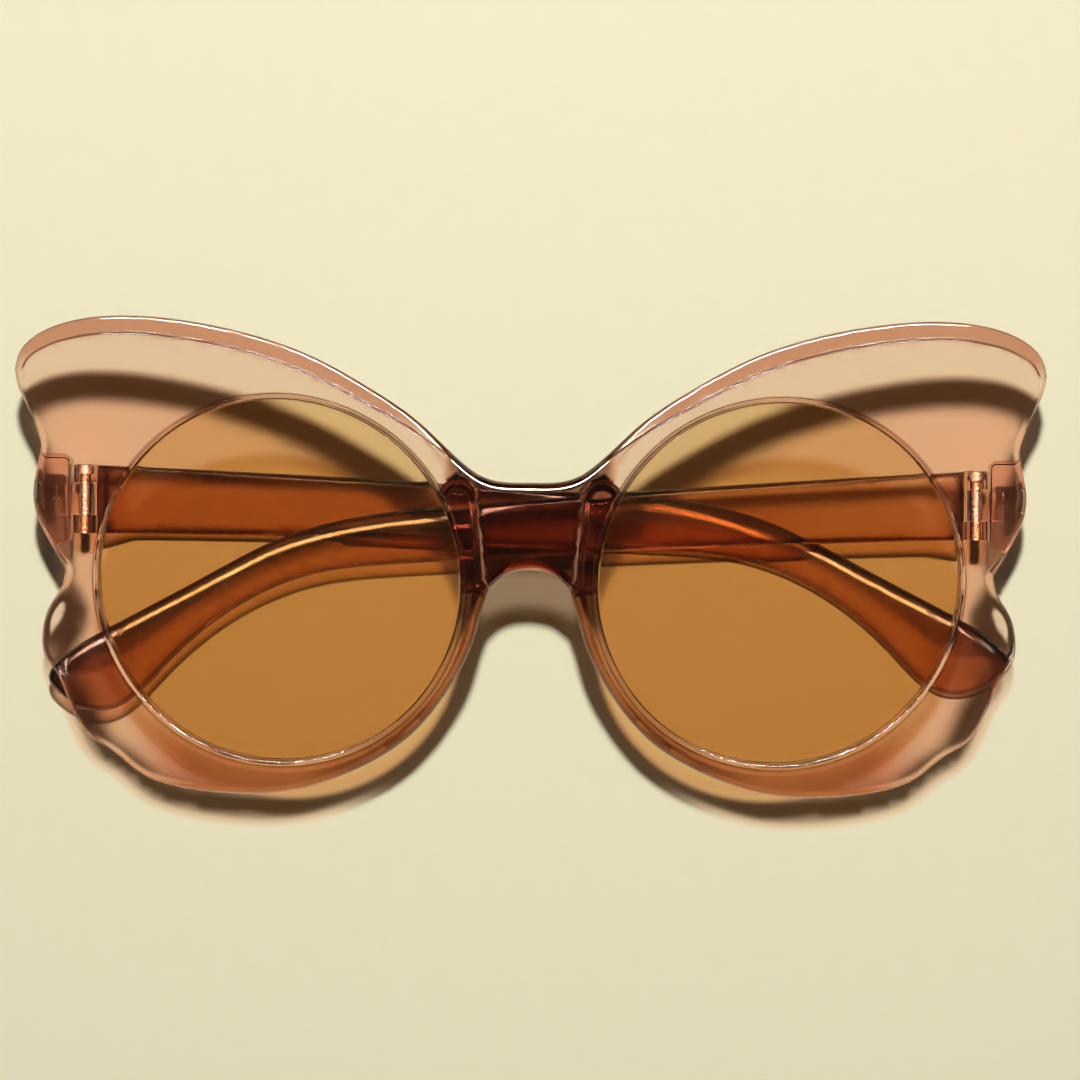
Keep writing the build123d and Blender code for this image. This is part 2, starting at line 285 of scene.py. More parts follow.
class MeshDraft:
    """Points, faces and corner normals that are gathered before they become one mesh."""

    def __init__(self) -> None:
        """Starts with nothing."""
        self.points: list[Array] = []
        self.faces: list[Array] = []
        self.normals: list[Array] = []
        self.marks: list[Array] = []
        self.count = 0

    def add_points(self, points: Array, marks: Array | None = None) -> Array:
        """Adds points.

        Args:
            points: Rows of x, y and z.
            marks: Rows of light and shade, or nothing for plain points.

        Returns:
            The numbers of the points.
        """
        self.points.append(points)
        self.marks.append(np.tile([1.0, 0.0], (len(points), 1)) if marks is None else marks)
        self.count += len(points)
        return np.arange(self.count - len(points), self.count)

    def add_faces(self, faces: Array, normals: Array) -> None:
        """Adds faces of one size, with a normal for each of their corners."""
        self.faces.append(faces)
        self.normals.append(normals)

    def add_strip(self, upper: Array, lower: Array, normals: Array) -> None:
        """Joins two closed rows of points by quads.

        Args:
            upper: Numbers of the points of the upper row, anticlockwise seen from above.
            lower: Numbers of the lower row's points, in the same order.
            normals: Outward normal at each point of the rows.
        """
        ahead = np.roll(np.arange(len(upper)), -1)
        faces = np.column_stack([upper, lower, lower[ahead], upper[ahead]])
        corners = np.stack([normals, normals, normals[ahead], normals[ahead]], axis=1)
        self.add_faces(faces, corners)

    def add_turned(
        self, profile: list[Pair], rows: list[Array], turn: Array, axis: Array, outward: bool
    ) -> None:
        """Joins rows of points round an axis by a wall that has sharp corners at the rows.

        Args:
            profile: Radius and height of each row, from the highest row down.
            rows: Numbers of each row's points.
            turn: Direction away from the axis at each point of a row, as normals are turned.
            axis: Direction of the axis, likewise.
            outward: True where the wall faces away from the axis.
        """
        for (near, high), (far, low), above, below in zip(profile, profile[1:], rows, rows[1:]):
            lean = np.array([high - low, far - near]) / math.hypot(high - low, far - near)
            normals = turn * lean[0] + axis * lean[1]
            if outward:
                self.add_strip(above, below, normals)
            else:
                self.add_strip(below, above, -normals)

    def build(self, name: str, matrix: Array, shift: Array) -> bpy.types.Object:
        """Makes the object.

        Args:
            name: Name of the object and its mesh.
            matrix: Turns the draft's directions into those of the glasses.
            shift: Place of the draft's origin, in millimetres.

        Returns:
            The object, linked to the scene.
        """
        points = (np.vstack(self.points) @ matrix.T + shift) * MM
        mirrored = np.linalg.det(matrix) < 0
        lean = np.linalg.inv(matrix)
        faces: list[list[int]] = []
        corners: list[Array] = []
        for block, normals in zip(self.faces, self.normals):
            turned = normals @ lean
            turned /= np.maximum(np.linalg.norm(turned, axis=2), 1e-12)[..., None]
            if mirrored:
                block, turned = block[:, ::-1], turned[:, ::-1]
            faces += block.tolist()
            corners.append(turned.reshape(-1, 3))
        mesh = bpy.data.meshes.new(name)
        mesh.from_pydata(points.tolist(), [], faces)
        mesh.polygons.foreach_set("use_smooth", [True] * len(faces))
        mesh.normals_split_custom_set(np.vstack(corners).tolist())
        for mark, values in zip(("light", "shade"), np.vstack(self.marks).T):
            layer = mesh.attributes.new(mark, "FLOAT", "POINT")
            layer.data.foreach_set("value", values.astype(np.float32))
        mesh.update()
        piece = bpy.data.objects.new(name, mesh)
        bpy.context.scene.collection.objects.link(piece)
        return piece


@dataclass
class Surface:
    """One broad face of a moulded slab: a height above each point of a flat, holed region.

    Attributes:
        outer: The region's outline.
        holes: Outlines of the openings in it.
        height: Gives the height at rows of x and y.
        seeds: Points that the mesh has to pass through, such as those along a crease.
        spacing: Distance between the points that fill the rest.
        upward: True for the upper face.
        marks: Gives rows of light and shade at rows of x and y. Light is the share that passes on
        to the table. Shade is painted into the colour: from -1, a painted highlight, over 0, plain,
        to 1, the darkest painted shade.
    """

    outer: Outline
    holes: list[Outline]
    height: Rule
    seeds: list[Array]
    spacing: float
    upward: bool
    marks: Rule | None = None

    def fill(self) -> Array:
        """Draws even rows of points inside the region.

        Returns:
            Rows of x and y.
        """
        low, high = self.outer.points.min(0), self.outer.points.max(0)
        row_gap = self.spacing * math.sqrt(3) / 2
        rows = np.arange(low[1], high[1], row_gap)
        columns = np.arange(low[0], high[0], self.spacing)
        x, y = np.meshgrid(columns, rows)
        x = x + (np.arange(len(rows)) % 2 * self.spacing / 2)[:, None]
        spots = np.column_stack([x.ravel(), y.ravel()])
        return spots[self.within(spots, self.spacing / 2)]

    def within(self, spots: Array, margin: float) -> Array:
        """Tells which points lie in the region, by at least a margin.

        Args:
            spots: Rows of x and y.
            margin: Least distance from the outline and the openings.

        Returns:
            True for each point that does.
        """
        keep = self.outer.inside(spots)[0] > margin
        for hole in self.holes:
            keep &= hole.inside(spots)[0] < -margin
        return keep

    def normals(self, spots: Array) -> Array:
        """Works out the normals of the height surface.

        Args:
            spots: Rows of x and y.

        Returns:
            A normal for each, out of the slab.
        """
        reach = 0.01
        slopes = []
        for axis in np.eye(2) * reach:
            slopes.append((self.height(spots + axis) - self.height(spots - axis)) / (2 * reach))
        normals = np.column_stack([-slopes[0], -slopes[1], np.ones(len(spots))])
        normals /= np.linalg.norm(normals, axis=1)[:, None]
        return normals if self.upward else -normals

    def add_to(self, draft: MeshDraft) -> list[Array]:
        """Triangulates the region and adds it to a draft.

        Args:
            draft: The mesh that the surface becomes part of.

        Returns:
            Numbers of the points along the outline, then of those along each hole.
        """
        loops = [self.outer, *self.holes]
        rims = np.vstack([loop.points for loop in loops])
        seeds = [spots[self.within(spots, MINIMUM_GAP)] for spots in self.seeds]
        fixed = np.vstack([rims, *seeds])
        tree = KDTree(len(fixed))
        for i, (x, y) in enumerate(fixed):
            tree.insert((x, y, 0), i)
        tree.balance()
        fill = [p for p in self.fill() if tree.find((*p, 0))[2] > self.spacing * FILL_SHARE]
        spots = np.vstack([fixed, fill]) if fill else fixed
        edges = []
        start = 0
        for loop in loops:
            ring = np.arange(start, start + len(loop.points))
            edges += np.column_stack([ring, np.roll(ring, -1)]).tolist()
            start += len(ring)
        vectors = [Vector(spot) for spot in spots]
        flat, _, faces, origins, _, _ = delaunay_2d_cdt(vectors, edges, [], 0, MERGE_GAP)
        flat = np.array([tuple(v) for v in flat])
        faces = np.array(faces)
        numbers = {}
        for made, sources in enumerate(origins):
            for source in sources:
                numbers[source] = made
        faces = faces[self.within(flat[faces].mean(1), 0)]
        normals = self.normals(flat)
        start = 0
        rings = []
        for loop, outward in zip(loops, [-1] + [1] * len(self.holes)):
            ring = np.array([numbers[i] for i in range(start, start + len(loop.points))])
            level = np.zeros(len(ring))
            normals[ring] = np.column_stack([outward * loop.inward_normals, level])
            rings.append(ring)
            start += len(ring)
        points = np.column_stack([flat, self.height(flat)])
        base = draft.add_points(points, None if self.marks is None else self.marks(flat))[0]
        if not self.upward:
            faces = faces[:, ::-1]
        draft.add_faces(faces + base, normals[faces])
        return [ring + base for ring in rings]


@dataclass(frozen=True)
class Bow:
    """The front's curve about a cylinder behind it, tilted about a line across the glasses.

    Heights over x and y are taken from a slope that has the same tilt and passes through the line.

    Attributes:
        radius: Radius of the face.
        face: Height of the face's middle before it is tilted.
        tilt: Its tilt, in degrees.
        pivot: The line's y and height.
    """

    radius: float
    face: float
    tilt: float
    pivot: Pair

    @property
    def matrix(self) -> Array:
        """Turns places over the slope into places on the glasses, apart from the shift."""
        return np.array([[1, 0, 0], [0, 1, 0], [0, math.tan(math.radians(self.tilt)), 1]])

    @property
    def shift(self) -> Array:
        """What is added after the matrix."""
        return np.array([0, 0, -self.pivot[0] * math.tan(math.radians(self.tilt))])

    def slope(self, spots: Array) -> Array:
        """Height of the slope over rows of x and y."""
        return (spots[:, 1] - self.pivot[0]) * math.tan(math.radians(self.tilt))

    def level(self, x: Array | float, depth: float) -> Array | float:
        """Height at x, over the slope, of the surface that lies a depth below the face."""
        flat = self.face - self.radius + np.sqrt((self.radius - depth) ** 2 - np.square(x))
        return self.pivot[1] + (flat - self.pivot[1]) / math.cos(math.radians(self.tilt))

    def tilted(self, vector: tuple[float, float, float]) -> Array:
        """Turns a direction with the tilt.

        Args:
            vector: The direction before it is tilted.

        Returns:
            The direction after it.
        """
        cosine, sine = math.cos(math.radians(self.tilt)), math.sin(math.radians(self.tilt))
        x, y, z = vector
        return np.array([x, cosine * y - sine * z, sine * y + cosine * z])


@dataclass
class LensSeat:
    """Round opening of the front, square to its bow, with the groove that holds a lens."""

    side: Side
    bow: Bow
    plate: float
    opening: float
    spread: float
    drop: float
    groove_depth: float = 0.7
    groove_width: float = 1.4
    groove_floor: float = 0.5

    def __post_init__(self) -> None:
        """Works out the seat's middle and directions, over the front's slope."""
        bow = self.bow
        self.radius = self.opening / 2
        wrap = math.asin(self.spread / 2 / bow.radius)
        sign = self.side.value
        arm = bow.tilted((0, -self.drop - bow.pivot[0], 0))
        centre = np.array([self.spread / 2 * sign, bow.pivot[0], bow.pivot[1]]) + arm
        centre[0] *= 1 - self.plate / 2 / bow.radius
        self.true_centre = centre
        flatten = np.linalg.inv(bow.matrix)
        self.centre = flatten @ (centre - bow.shift)
        self.true_axis = bow.tilted((sign * math.sin(wrap), 0, math.cos(wrap)))
        self.true_across = bow.tilted((math.cos(wrap), 0, -sign * math.sin(wrap)))
        self.true_up = bow.tilted((0, 1, 0))
        self.axis = flatten @ self.true_axis
        self.across = flatten @ self.true_across
        self.up = flatten @ self.true_up
        self.upright = self.true_axis @ bow.matrix
        count = round(2 * math.pi * self.radius / STEP)
        self.angles = np.linspace(0, 2 * math.pi, count, endpoint=False)

    def circle(self, radius: float, height: Array | float) -> Array:
        """Draws a ring round the seat's axis.

        Args:
            radius: Distance from the axis.
            height: One height above the seat's middle, or one for each point.

        Returns:
            Rows of x, y and z.
        """
        turn = np.outer(np.cos(self.angles), self.across) + np.outer(np.sin(self.angles), self.up)
        height = np.broadcast_to(height, len(self.angles))
        return self.centre + radius * turn + height[:, None] * self.axis

    def rim(self, radius: float, surface: Rule) -> Array:
        """Finds the line along which a tube round the seat's axis meets a surface.

        Args:
            radius: Radius of the tube.
            surface: Gives the height at rows of x and y.

        Returns:
            Rows of x, y and z.
        """
        height = np.zeros(len(self.angles))
        for _ in range(RIM_ROUNDS):
            points = self.circle(radius, height)
            height += (surface(points[:, :2]) - points[:, 2]) / self.axis[2]
        return self.circle(radius, height)

    def plane_level(self, spots: Array, height: float) -> Array:
        """Height over rows of x and y of the plane that lies a height above the seat's middle."""
        on_plane = self.centre + self.axis * height
        return on_plane[2] - (spots - on_plane[:2]) @ self.upright[:2] / self.upright[2]


# Right half of the front's outline in six stretches: shares of half its width and half its height,
# then in millimetres the width of the lowered border and the roundness of the edge.
BROW_LINE = [
    (0.000, 0.331, 0.0, 1.5),
    (0.085, 0.350, 0.0, 1.5),
    (0.136, 0.424, 0.3, 1.4),
    (0.217, 0.585, 1.3, 0.9),
    (0.300, 0.706, 1.9, 0.7),
    (0.416, 0.841, 2.2, 0.6),
    (0.543, 0.934, 2.35, 0.6),
    (0.660, 0.982, 2.35, 0.6),
    (0.775, 1.000, 2.3, 0.6),
    (0.891, 0.971, 2.2, 0.6),
    (0.959, 0.908, 1.9, 0.6),
    (0.991, 0.835, 1.4, 0.6),
    (1.000, 0.764, 0.9, 0.7),
]
WING_SIDE = [
    (1.000, 0.764, 0.9, 0.7),
    (0.993, 0.690, 0.4, 0.9),
    (0.972, 0.599, 0.0, 1.0),
    (0.948, 0.455, 0.0, 1.1),
]
LUMP = [
    (0.948, 0.455, 0.0, 1.1),
    (0.955, 0.380, 0.0, 1.2),
    (0.966, 0.250, 0.0, 1.4),
    (0.960, 0.160, 0.0, 1.4),
    (0.941, 0.070, 0.0, 1.4),
    (0.903, -0.069, 0.0, 1.4),
]
LOBE = [
    (0.903, -0.069, 0.0, 1.4),
    (0.911, -0.140, 0.0, 1.5),
    (0.935, -0.225, 0.0, 1.5),
    (0.951, -0.354, 0.0, 1.4),
    (0.944, -0.450, 0.0, 1.3),
    (0.921, -0.516, 0.0, 1.2),
    (0.904, -0.600, 0.0, 1.1),
    (0.886, -0.690, 0.0, 1.1),
]
LOWER = [
    (0.886, -0.690, 0.0, 1.1),
    (0.859, -0.772, 0.0, 1.1),
    (0.817, -0.827, 0.0, 1.1),
    (0.755, -0.928, 0.0, 1.2),
    (0.677, -0.980, 0.0, 1.3),
    (0.563, -1.000, 0.0, 1.4),
    (0.445, -0.974, 0.0, 1.5),
    (0.368, -0.919, 0.0, 1.6),
    (0.291, -0.836, 0.0, 1.7),
    (0.239, -0.758, 0.0, 1.8),
    (0.177, -0.611, 0.0, 1.8),
    (0.132, -0.455, 0.0, 1.8),
    (0.109, -0.343, 0.0, 1.8),
    (0.091, -0.202, 0.0, 1.7),
    (0.078, -0.115, 0.0, 1.6),
]
ARCH = [
    (0.078, -0.115, 0.0, 1.6),
    (0.042, -0.052, 0.0, 1.6),
    (0.000, -0.035, 0.0, 1.6),
]

# Shade painted into the front's colour at depths inside its outline, and at distances from its lens
# openings, in millimetres: lines of painted shade, and along the edges and round the lenses pale bands
# of painted highlight. A shade of 1 is darkest, and below 0 it is paler than the plain plastic.
OUTER_LINES = [(0.0, 0.5), (0.1, 1.0), (0.45, 1.0), (0.6, 0.5), (0.9, 0.5), (1.1, 1.0), (1.7, 1.0)]
INNER_LINES = [(0.0, 1.0), (0.8, 1.0), (1.05, 1.0), (1.2, 0.6), (1.6, 0.6), (1.8, 1.0), (2.2, 1.0)]
EDGE_LINES = [(0.0, 0.7), (0.3, 0.7), (0.5, -0.8), (1.1, -0.8), (1.5, 0.0)]
RING_LINES = [(0.0, 1.0), (0.13, 1.0), (0.2, -1.0), (0.7, -1.0), (0.78, 0.9), (0.9, 0.9), (1.0, 0.0)]

# Shade painted into the nose pads' colour at levels along them, in millimetres: painted shade at their
# feet and tops, milder between, and a band of painted highlight above the feet.
PAD_LINES = [(0.6, 1.0), (1.0, -0.8), (2.7, -0.8), (3.1, 0.5), (6.0, 0.3), (8.4, 0.4), (8.8, 0.9)]

# A temple's outline from the top of its hinge end round its tip to the bottom of its hinge end, as
# shares of its length and its height.
TEMPLE_LINE = [
    (0.226, 0.485),
    (0.564, 0.400),
    (0.670, 0.305),
    (0.744, 0.085),
    (0.832, -0.446),
    (0.934, -1.109),
    (0.979, -1.455),
    (1.000, -1.802),
    (0.986, -2.069),
    (0.957, -2.287),
    (0.927, -2.297),
    (0.876, -1.772),
    (0.788, -0.861),
    (0.712, -0.495),
    (0.619, -0.411),
    (0.406, -0.396),
]


@dataclass
class Hinge:
    """Pin and knuckles of one hinge, in the plane square to the pin."""

    side: Side
    level: float = 8.75
    knuckle_radius: float = 1.6
    knuckle_height: float = 4.5
    knuckle_gap: float = 0.1
    stack: float = 10.1
    bore: float = 0.73
    end_gap: float = 1.8
    stop_gap: float = 1.25
    edge: float = 0.14
    bore_step: float = 0.16
    spacing: float = 0.5

    def __post_init__(self) -> None:
        """Reads the pin's place from its screw."""
        low, high = box_mm(f"hinge_screw_{self.side.word}")
        self.pin_x = abs(low[0] + high[0]) / 2
        self.pin_z = (low[2] + high[2]) / 2

    def barrel(self, name: str, shape: Outline, start: float, end: float) -> bpy.types.Object:
        """Makes a knuckle.

        Args:
            name: Name of the piece.
            shape: Its section, with x away from the middle of the glasses and y upwards.
            start: Level of its lower end along the pin.
            end: Level of its upper end.

        Returns:
            The knuckle with its bore.
        """
        bore = Outline(hull_loop([(self.pin_x, self.pin_z, self.bore)], self.bore_step))
        draft = MeshDraft()

        def top(spots: Array) -> Array:
            """Upper end with its edges rounded."""
            return end - rounded(shape.inside(spots)[0], self.edge)

        def bottom(spots: Array) -> Array:
            """Lower end with its edges rounded."""
            return start + rounded(shape.inside(spots)[0], self.edge)

        rings = [shape.ring(self.edge * share) for share in BARREL_ROWS]
        upper = Surface(shape, [bore], top, rings, self.spacing, True).add_to(draft)
        lower = Surface(shape, [bore], bottom, rings, self.spacing, False).add_to(draft)
        outside = np.column_stack([-shape.inward_normals, np.zeros(len(shape.points))])
        inside = np.column_stack([bore.inward_normals, np.zeros(len(bore.points))])
        draft.add_strip(upper[0], lower[0], outside)
        draft.add_strip(lower[1], upper[1], inside)
        sign = self.side.value
        matrix = np.array([[sign, 0, 0], [0, 0, 1], [0, 1, 0]], float)
        return draft.build(name, matrix, np.zeros(3))


def join(pieces: list[bpy.types.Object], name: str) -> bpy.types.Object:
    """Joins pieces into the first one and names it.

    Args:
        pieces: The pieces.
        name: Name of the whole.

    Returns:
        The whole.
    """
    with bpy.context.temp_override(active_object=pieces[0], selected_editable_objects=pieces):
        bpy.ops.object.join()
    pieces[0].name = pieces[0].data.name = name
    return pieces[0]


@dataclass
class Front:
    """Moulded front: bowed plate with bevelled wings, lens seats, nose pads and end blocks.

    The sizes are in millimetres. A pair of a fade holds the places where it starts and ends.
    """

    # The plate and its lowered border
    plate: float = 3.2
    bow_radius: float = 400.0
    tilt: float = 8.0
    pin_clearance: float = 2.1
    opening: float = 53.0
    bridge: float = 19.8
    rim_above: float = 11.5
    rim_below: float = 5.3
    step_depth: float = 0.7
    step_width: float = 0.4
    full_border: float = 1.5
    back_share: float = 0.75
    crease_gap: float = 0.7

    # Fades of the light that passes on to the table, at the rims, the nose, the pads and the blocks
    rim_reach: Pair = (2.6, 4.6)
    low_reach: Pair = (4.6, 7.5)
    low_levels: Pair = (-6.0, -14.0)
    low_sides: Pair = (18.0, 30.0)
    low_edge: Pair = (2.2, 1.3)
    nose_light: float = 0.3
    nose_reach: Pair = (20.0, 40.0)
    stand_reach: Pair = (-1.0, -0.1)
    stand_dark: float = 0.7

    # Shade painted into the colour: painted shade at the bridge, the border with its crease, the rims'
    # dark lines and the pad walls, a painted highlight round the back's lens openings, and a darker
    # colour over the end blocks
    bridge_shade: float = 0.85
    bridge_sides: Pair = (13.0, 11.0)
    bridge_levels: Pair = (-6.0, -3.0)
    border_shade: float = 0.5
    border_fade: float = 0.5
    crease_start: Pair = (0.0, 0.15)
    crease_end: Pair = (0.55, 0.4)
    line_levels: Pair = (3.0, -5.0)
    line_sides: tuple[tuple[float, float, float], ...] = ((0.62, 60.0, 48.0), (0.38, 34.0, 22.0))
    line_least: float = 0.02
    ring_reach: Pair = (1.3, 1.0)
    block_shade: float = 0.4
    pad_rim: float = 0.15

    # Edges of the lens openings
    seat_round: float = 0.3
    seat_share: float = 0.8
    seat_least: float = 0.005
    seat_lip: float = 0.02
    seat_edge: float = 0.2

    # Nose pads, each with the x, y and radius of its two ends
    pad_draft: float = 0.6
    pad_flare: float = 1.3
    pad_round: float = 0.9
    pad_foot: float = 6.0
    pad_top: tuple[float, float, float] = (10.4, 9.4, 2.0)
    pad_bottom: tuple[float, float, float] = (8.7, -2.8, 1.4)

    # End blocks, each with a dimple
    block_width: float = 3.8
    block_margin: float = 1.25
    block_gap: float = 0.2
    block_corner: float = 0.7
    block_draft: float = 0.15
    block_edge: float = 0.2
    dimple_radius: float = 0.45
    dimple_depth: float = 0.8
    dimple_edge: float = 0.04

    # Spacing of the points of the mesh and of its smaller lines, and the knuckles' corners
    pad_step: float = 0.14
    pad_points: int = 16
    block_step: float = 0.18
    dimple_step: float = 0.12
    knuckle_step: float = 0.25
    knuckle_corner: float = 0.1
    spacing: float = 1.1

    def __post_init__(self) -> None:
        """Reads the width of the front and its pins from the CAD nodes and prepares its lines."""
        self.half_width = box_mm("frame_front")[1][0]
        self.half_height = (self.rim_above + self.opening + self.rim_below) / 2
        self.hinges = [Hinge(side) for side in Side]
        pin = self.hinges[0]
        spread = self.bridge + self.opening
        wrap = math.asin(spread / 2 / self.bow_radius)
        plate_back = pin.pin_z + pin.knuckle_radius + self.pin_clearance
        reach = math.sqrt((self.bow_radius - self.plate) ** 2 - pin.pin_x**2)
        face = plate_back + self.bow_radius - reach
        middle = face - self.bow_radius + (self.bow_radius - self.plate / 2) * math.cos(wrap)
        self.bow = Bow(self.bow_radius, face, self.tilt, (pin.level, middle))
        drop = (self.rim_above - self.rim_below) / 2
        self.seats = [LensSeat(s, self.bow, self.plate, self.opening, spread, drop) for s in Side]
        self.outline = self.draw_outline()
        self.pads = []
        for side in Side:
            ends = [(side.value * x, y, radius) for x, y, radius in (self.pad_top, self.pad_bottom)]
            self.pads.append(Outline(hull_loop(ends, self.pad_step)))
        self.blocks = [self.draw_block(hinge) for hinge in self.hinges]
        self.dimples = []
        for hinge in self.hinges:
            spot = (hinge.side.value * self.block_middle(hinge), hinge.level, self.dimple_radius)
            self.dimples.append(Outline(hull_loop([spot], self.dimple_step)))

    def draw_outline(self) -> Outline:
        """Draws the whole outline anticlockwise, as it looks from above after the tilt.

        Returns:
            The outline, with the width of its border and the roundness of its edge as traits.
        """
        scale = np.array([self.half_width, self.half_height, 1, 1])
        mirror = np.array([-1, 1, 1, 1])
        brow = np.array(BROW_LINE) * scale
        arch = np.array(ARCH) * scale
        whole_brow = smooth_curve(np.vstack([brow[:0:-1] * mirror, brow]), STEP)
        whole_arch = smooth_curve(np.vstack([arch, (arch * mirror)[-2::-1]]), STEP)
        parts = (WING_SIDE, LUMP, LOBE, LOWER)
        stretches = [smooth_curve(np.array(part) * scale, STEP) for part in parts]
        right = np.vstack([line[:-1] for line in (whole_brow, *stretches, whole_arch)])
        left = np.vstack([(line * mirror)[:0:-1] for line in reversed(stretches)])
        loop = np.vstack([right, left])[::-1]
        cosine, sine = math.cos(math.radians(self.tilt)), math.sin(math.radians(self.tilt))
        pivot = self.bow.pivot
        high = (self.bow.level(loop[:, 0], self.plate / 2) - pivot[1]) * cosine
        loop[:, 1] = pivot[0] + (loop[:, 1] - pivot[0]) * cosine - high * sine
        loop = even_loop(loop, STEP)
        return Outline(loop[:, :2], loop[:, 2:])

    def block_middle(self, hinge: Hinge) -> float:
        """Distance of an end block's middle from the middle of the glasses."""
        return hinge.pin_x + hinge.knuckle_radius + self.block_gap + self.block_width / 2

    def draw_block(self, hinge: Hinge) -> Outline:
        """Draws the foot of an end block.

        Args:
            hinge: The hinge that the block carries.

        Returns:
            Its outline.
        """
        reach = self.block_width / 2 - self.block_corner
        tall = hinge.stack / 2 + self.block_margin - self.block_corner
        middle = hinge.side.value * self.block_middle(hinge)
        corners = [(middle + a * reach, hinge.level + b * tall) for a in (-1, 1) for b in (-1, 1)]
        return Outline(hull_loop([(x, y, self.block_corner) for x, y in corners], self.block_step))

    def bare_face(self, spots: Array) -> Array:
        """Works out the face before its lens openings are eased.

        Args:
            spots: Rows of x and y.

        Returns:
            The height at each.
        """
        depth, (border, radius) = self.outline.inside(spots)
        level = self.bow.level(spots[:, 0], 0)
        deep = self.step_depth * np.clip(border / self.full_border, 0, 1)
        level = level - deep * smooth_step(border + self.step_width - depth, 0, self.step_width)
        return level - rounded(depth, radius)

    def face(self, spots: Array) -> Array:
        """Works out the finished face.

        Args:
            spots: Rows of x and y.

        Returns:
            The height at each.
        """
        level = self.bare_face(spots)
        for seat, opening in zip(self.seats, self.face_openings):
            away = -opening.inside(spots)[0]
            spare = level - seat.plane_level(spots, seat.groove_width / 2 + self.seat_lip)
            radius = np.clip(self.seat_share * spare, self.seat_least, self.seat_round)
            level = level - rounded(away, radius)
        return level

    def bare_back(self, spots: Array) -> Array:
        """Height of the back before anything stands on it."""
        depth, (_, radius) = self.outline.inside(spots)
        return self.bow.level(spots[:, 0], self.plate) + rounded(depth, self.back_share * radius)

    def eased_back(self, spots: Array) -> Array:
        """Works out the back with the edges of its lens openings rounded.

        Args:
            spots: Rows of x and y.

        Returns:
            The height at each.
        """
        level = self.bare_back(spots)
        for opening in self.back_openings:
            level = level + rounded(-opening.inside(spots)[0], self.seat_edge)
        return level

    def back(self, spots: Array) -> Array:
        """Works out the finished back, with nose pads and end blocks.

        Args:
            spots: Rows of x and y.

        Returns:
            The height at each.
        """
        level = self.eased_back(spots)
        slope = self.bow.slope(spots)
        for pad in self.pads:
            depth, _ = pad.inside(spots)
            foot = self.pad_foot - slope + rounded(np.maximum(depth, 0), self.pad_round)
            share = np.clip(1 + depth / self.pad_draft, 0, 1)
            level = level + (foot - level) * share**self.pad_flare
        for block, dimple, hinge in zip(self.blocks, self.dimples, self.hinges):
            depth, _ = block.inside(spots)
            foot = hinge.pin_z - hinge.stop_gap - slope
            foot = foot + rounded(np.maximum(depth, 0), self.block_edge)
            edge = self.dimple_edge
            hollow = smooth_step(dimple.inside(spots)[0], -edge, edge) * self.dimple_depth
            share = np.clip(1 + depth / self.block_draft, 0, 1)
            level = level + (foot + hollow - level) * share
        return level

    def face_marks(self, spots: Array, fine: bool = True) -> Array:
        """Finds the light and the painted shade of the face: painted shade at its rims, lens openings,
        bridge and nose, and painted highlights along its edges and round its lens openings.

        Args:
            spots: Rows of x and y.
            fine: Draws the fine lines along the outline too.

        Returns:
            Rows of light and shade.
        """
        x, y = np.abs(spots[:, 0]), spots[:, 1]
        depth, (border, radius) = self.outline.inside(spots)
        away = np.min([-opening.inside(spots)[0] for opening in self.face_openings], axis=0)
        through = self.nose_light + (1 - self.nose_light) * smooth_step(x, *self.nose_reach)
        low = smooth_step(y, *self.low_levels) * smooth_step(x, *self.low_sides)
        high = smooth_step(depth, *self.rim_reach)
        light = (1 - low) * high + low * smooth_step(depth, *self.low_reach)
        light = np.maximum(light * through, low * smooth_step(depth, *self.low_edge))
        # Painted shade over the bridge.
        bridge = self.bridge_shade * smooth_step(x, *self.bridge_sides)
        bridge = bridge * smooth_step(y, *self.bridge_levels)
        # Painted half shade on the lowered border with a dark painted crease; elsewhere the edge gets a
        # dark line and a pale band of painted highlight.
        bend = np.maximum(border, radius)
        band = np.clip(border / self.full_border, 0, 1)
        painted_band_shade = self.border_shade * smooth_step(depth, bend + self.border_fade, bend)
        rim = band * painted_band_shade
        if fine:
            past = depth - bend
            crease = smooth_step(past, *self.crease_start) * smooth_step(past, *self.crease_end)
            rim = band * np.maximum(painted_band_shade, crease) + (1 - band) * on_lines(EDGE_LINES, depth)
        # Stripes of painted shade along the rims near the nose and along the bottom.
        lines = np.where(depth < away, on_lines(OUTER_LINES, depth), on_lines(INNER_LINES, away))
        strength = sum(share * smooth_step(x, start, end) for share, start, end in self.line_sides)
        lines = lines * smooth_step(y, *self.line_levels) * strength
        marked = np.maximum(bridge, lines)
        dark = np.where(marked > self.line_least, np.maximum(marked, rim), rim)
        # Round the lens openings a dark line of painted shade and a pale band of painted reflection.
        ring = on_lines(RING_LINES, away)
        ring = np.where(ring > 0, np.maximum(dark, ring), ring)
        return np.column_stack([light, np.where(away < RING_LINES[-1][0], ring, dark)])

    def back_marks(self, spots: Array) -> Array:
        """Finds the light and the painted shade of the back, with least light at its pads and end
        blocks.
        It repeats the face's painted shade without the fine lines, with a painted highlight round the
        lens openings, painted shade and highlight on the pads and a darker colour over the end blocks.

        Args:
            spots: Rows of x and y.

        Returns:
            Rows of light and shade.
        """
        light = np.ones(len(spots))
        away = np.min([-opening.inside(spots)[0] for opening in self.back_openings], axis=0)
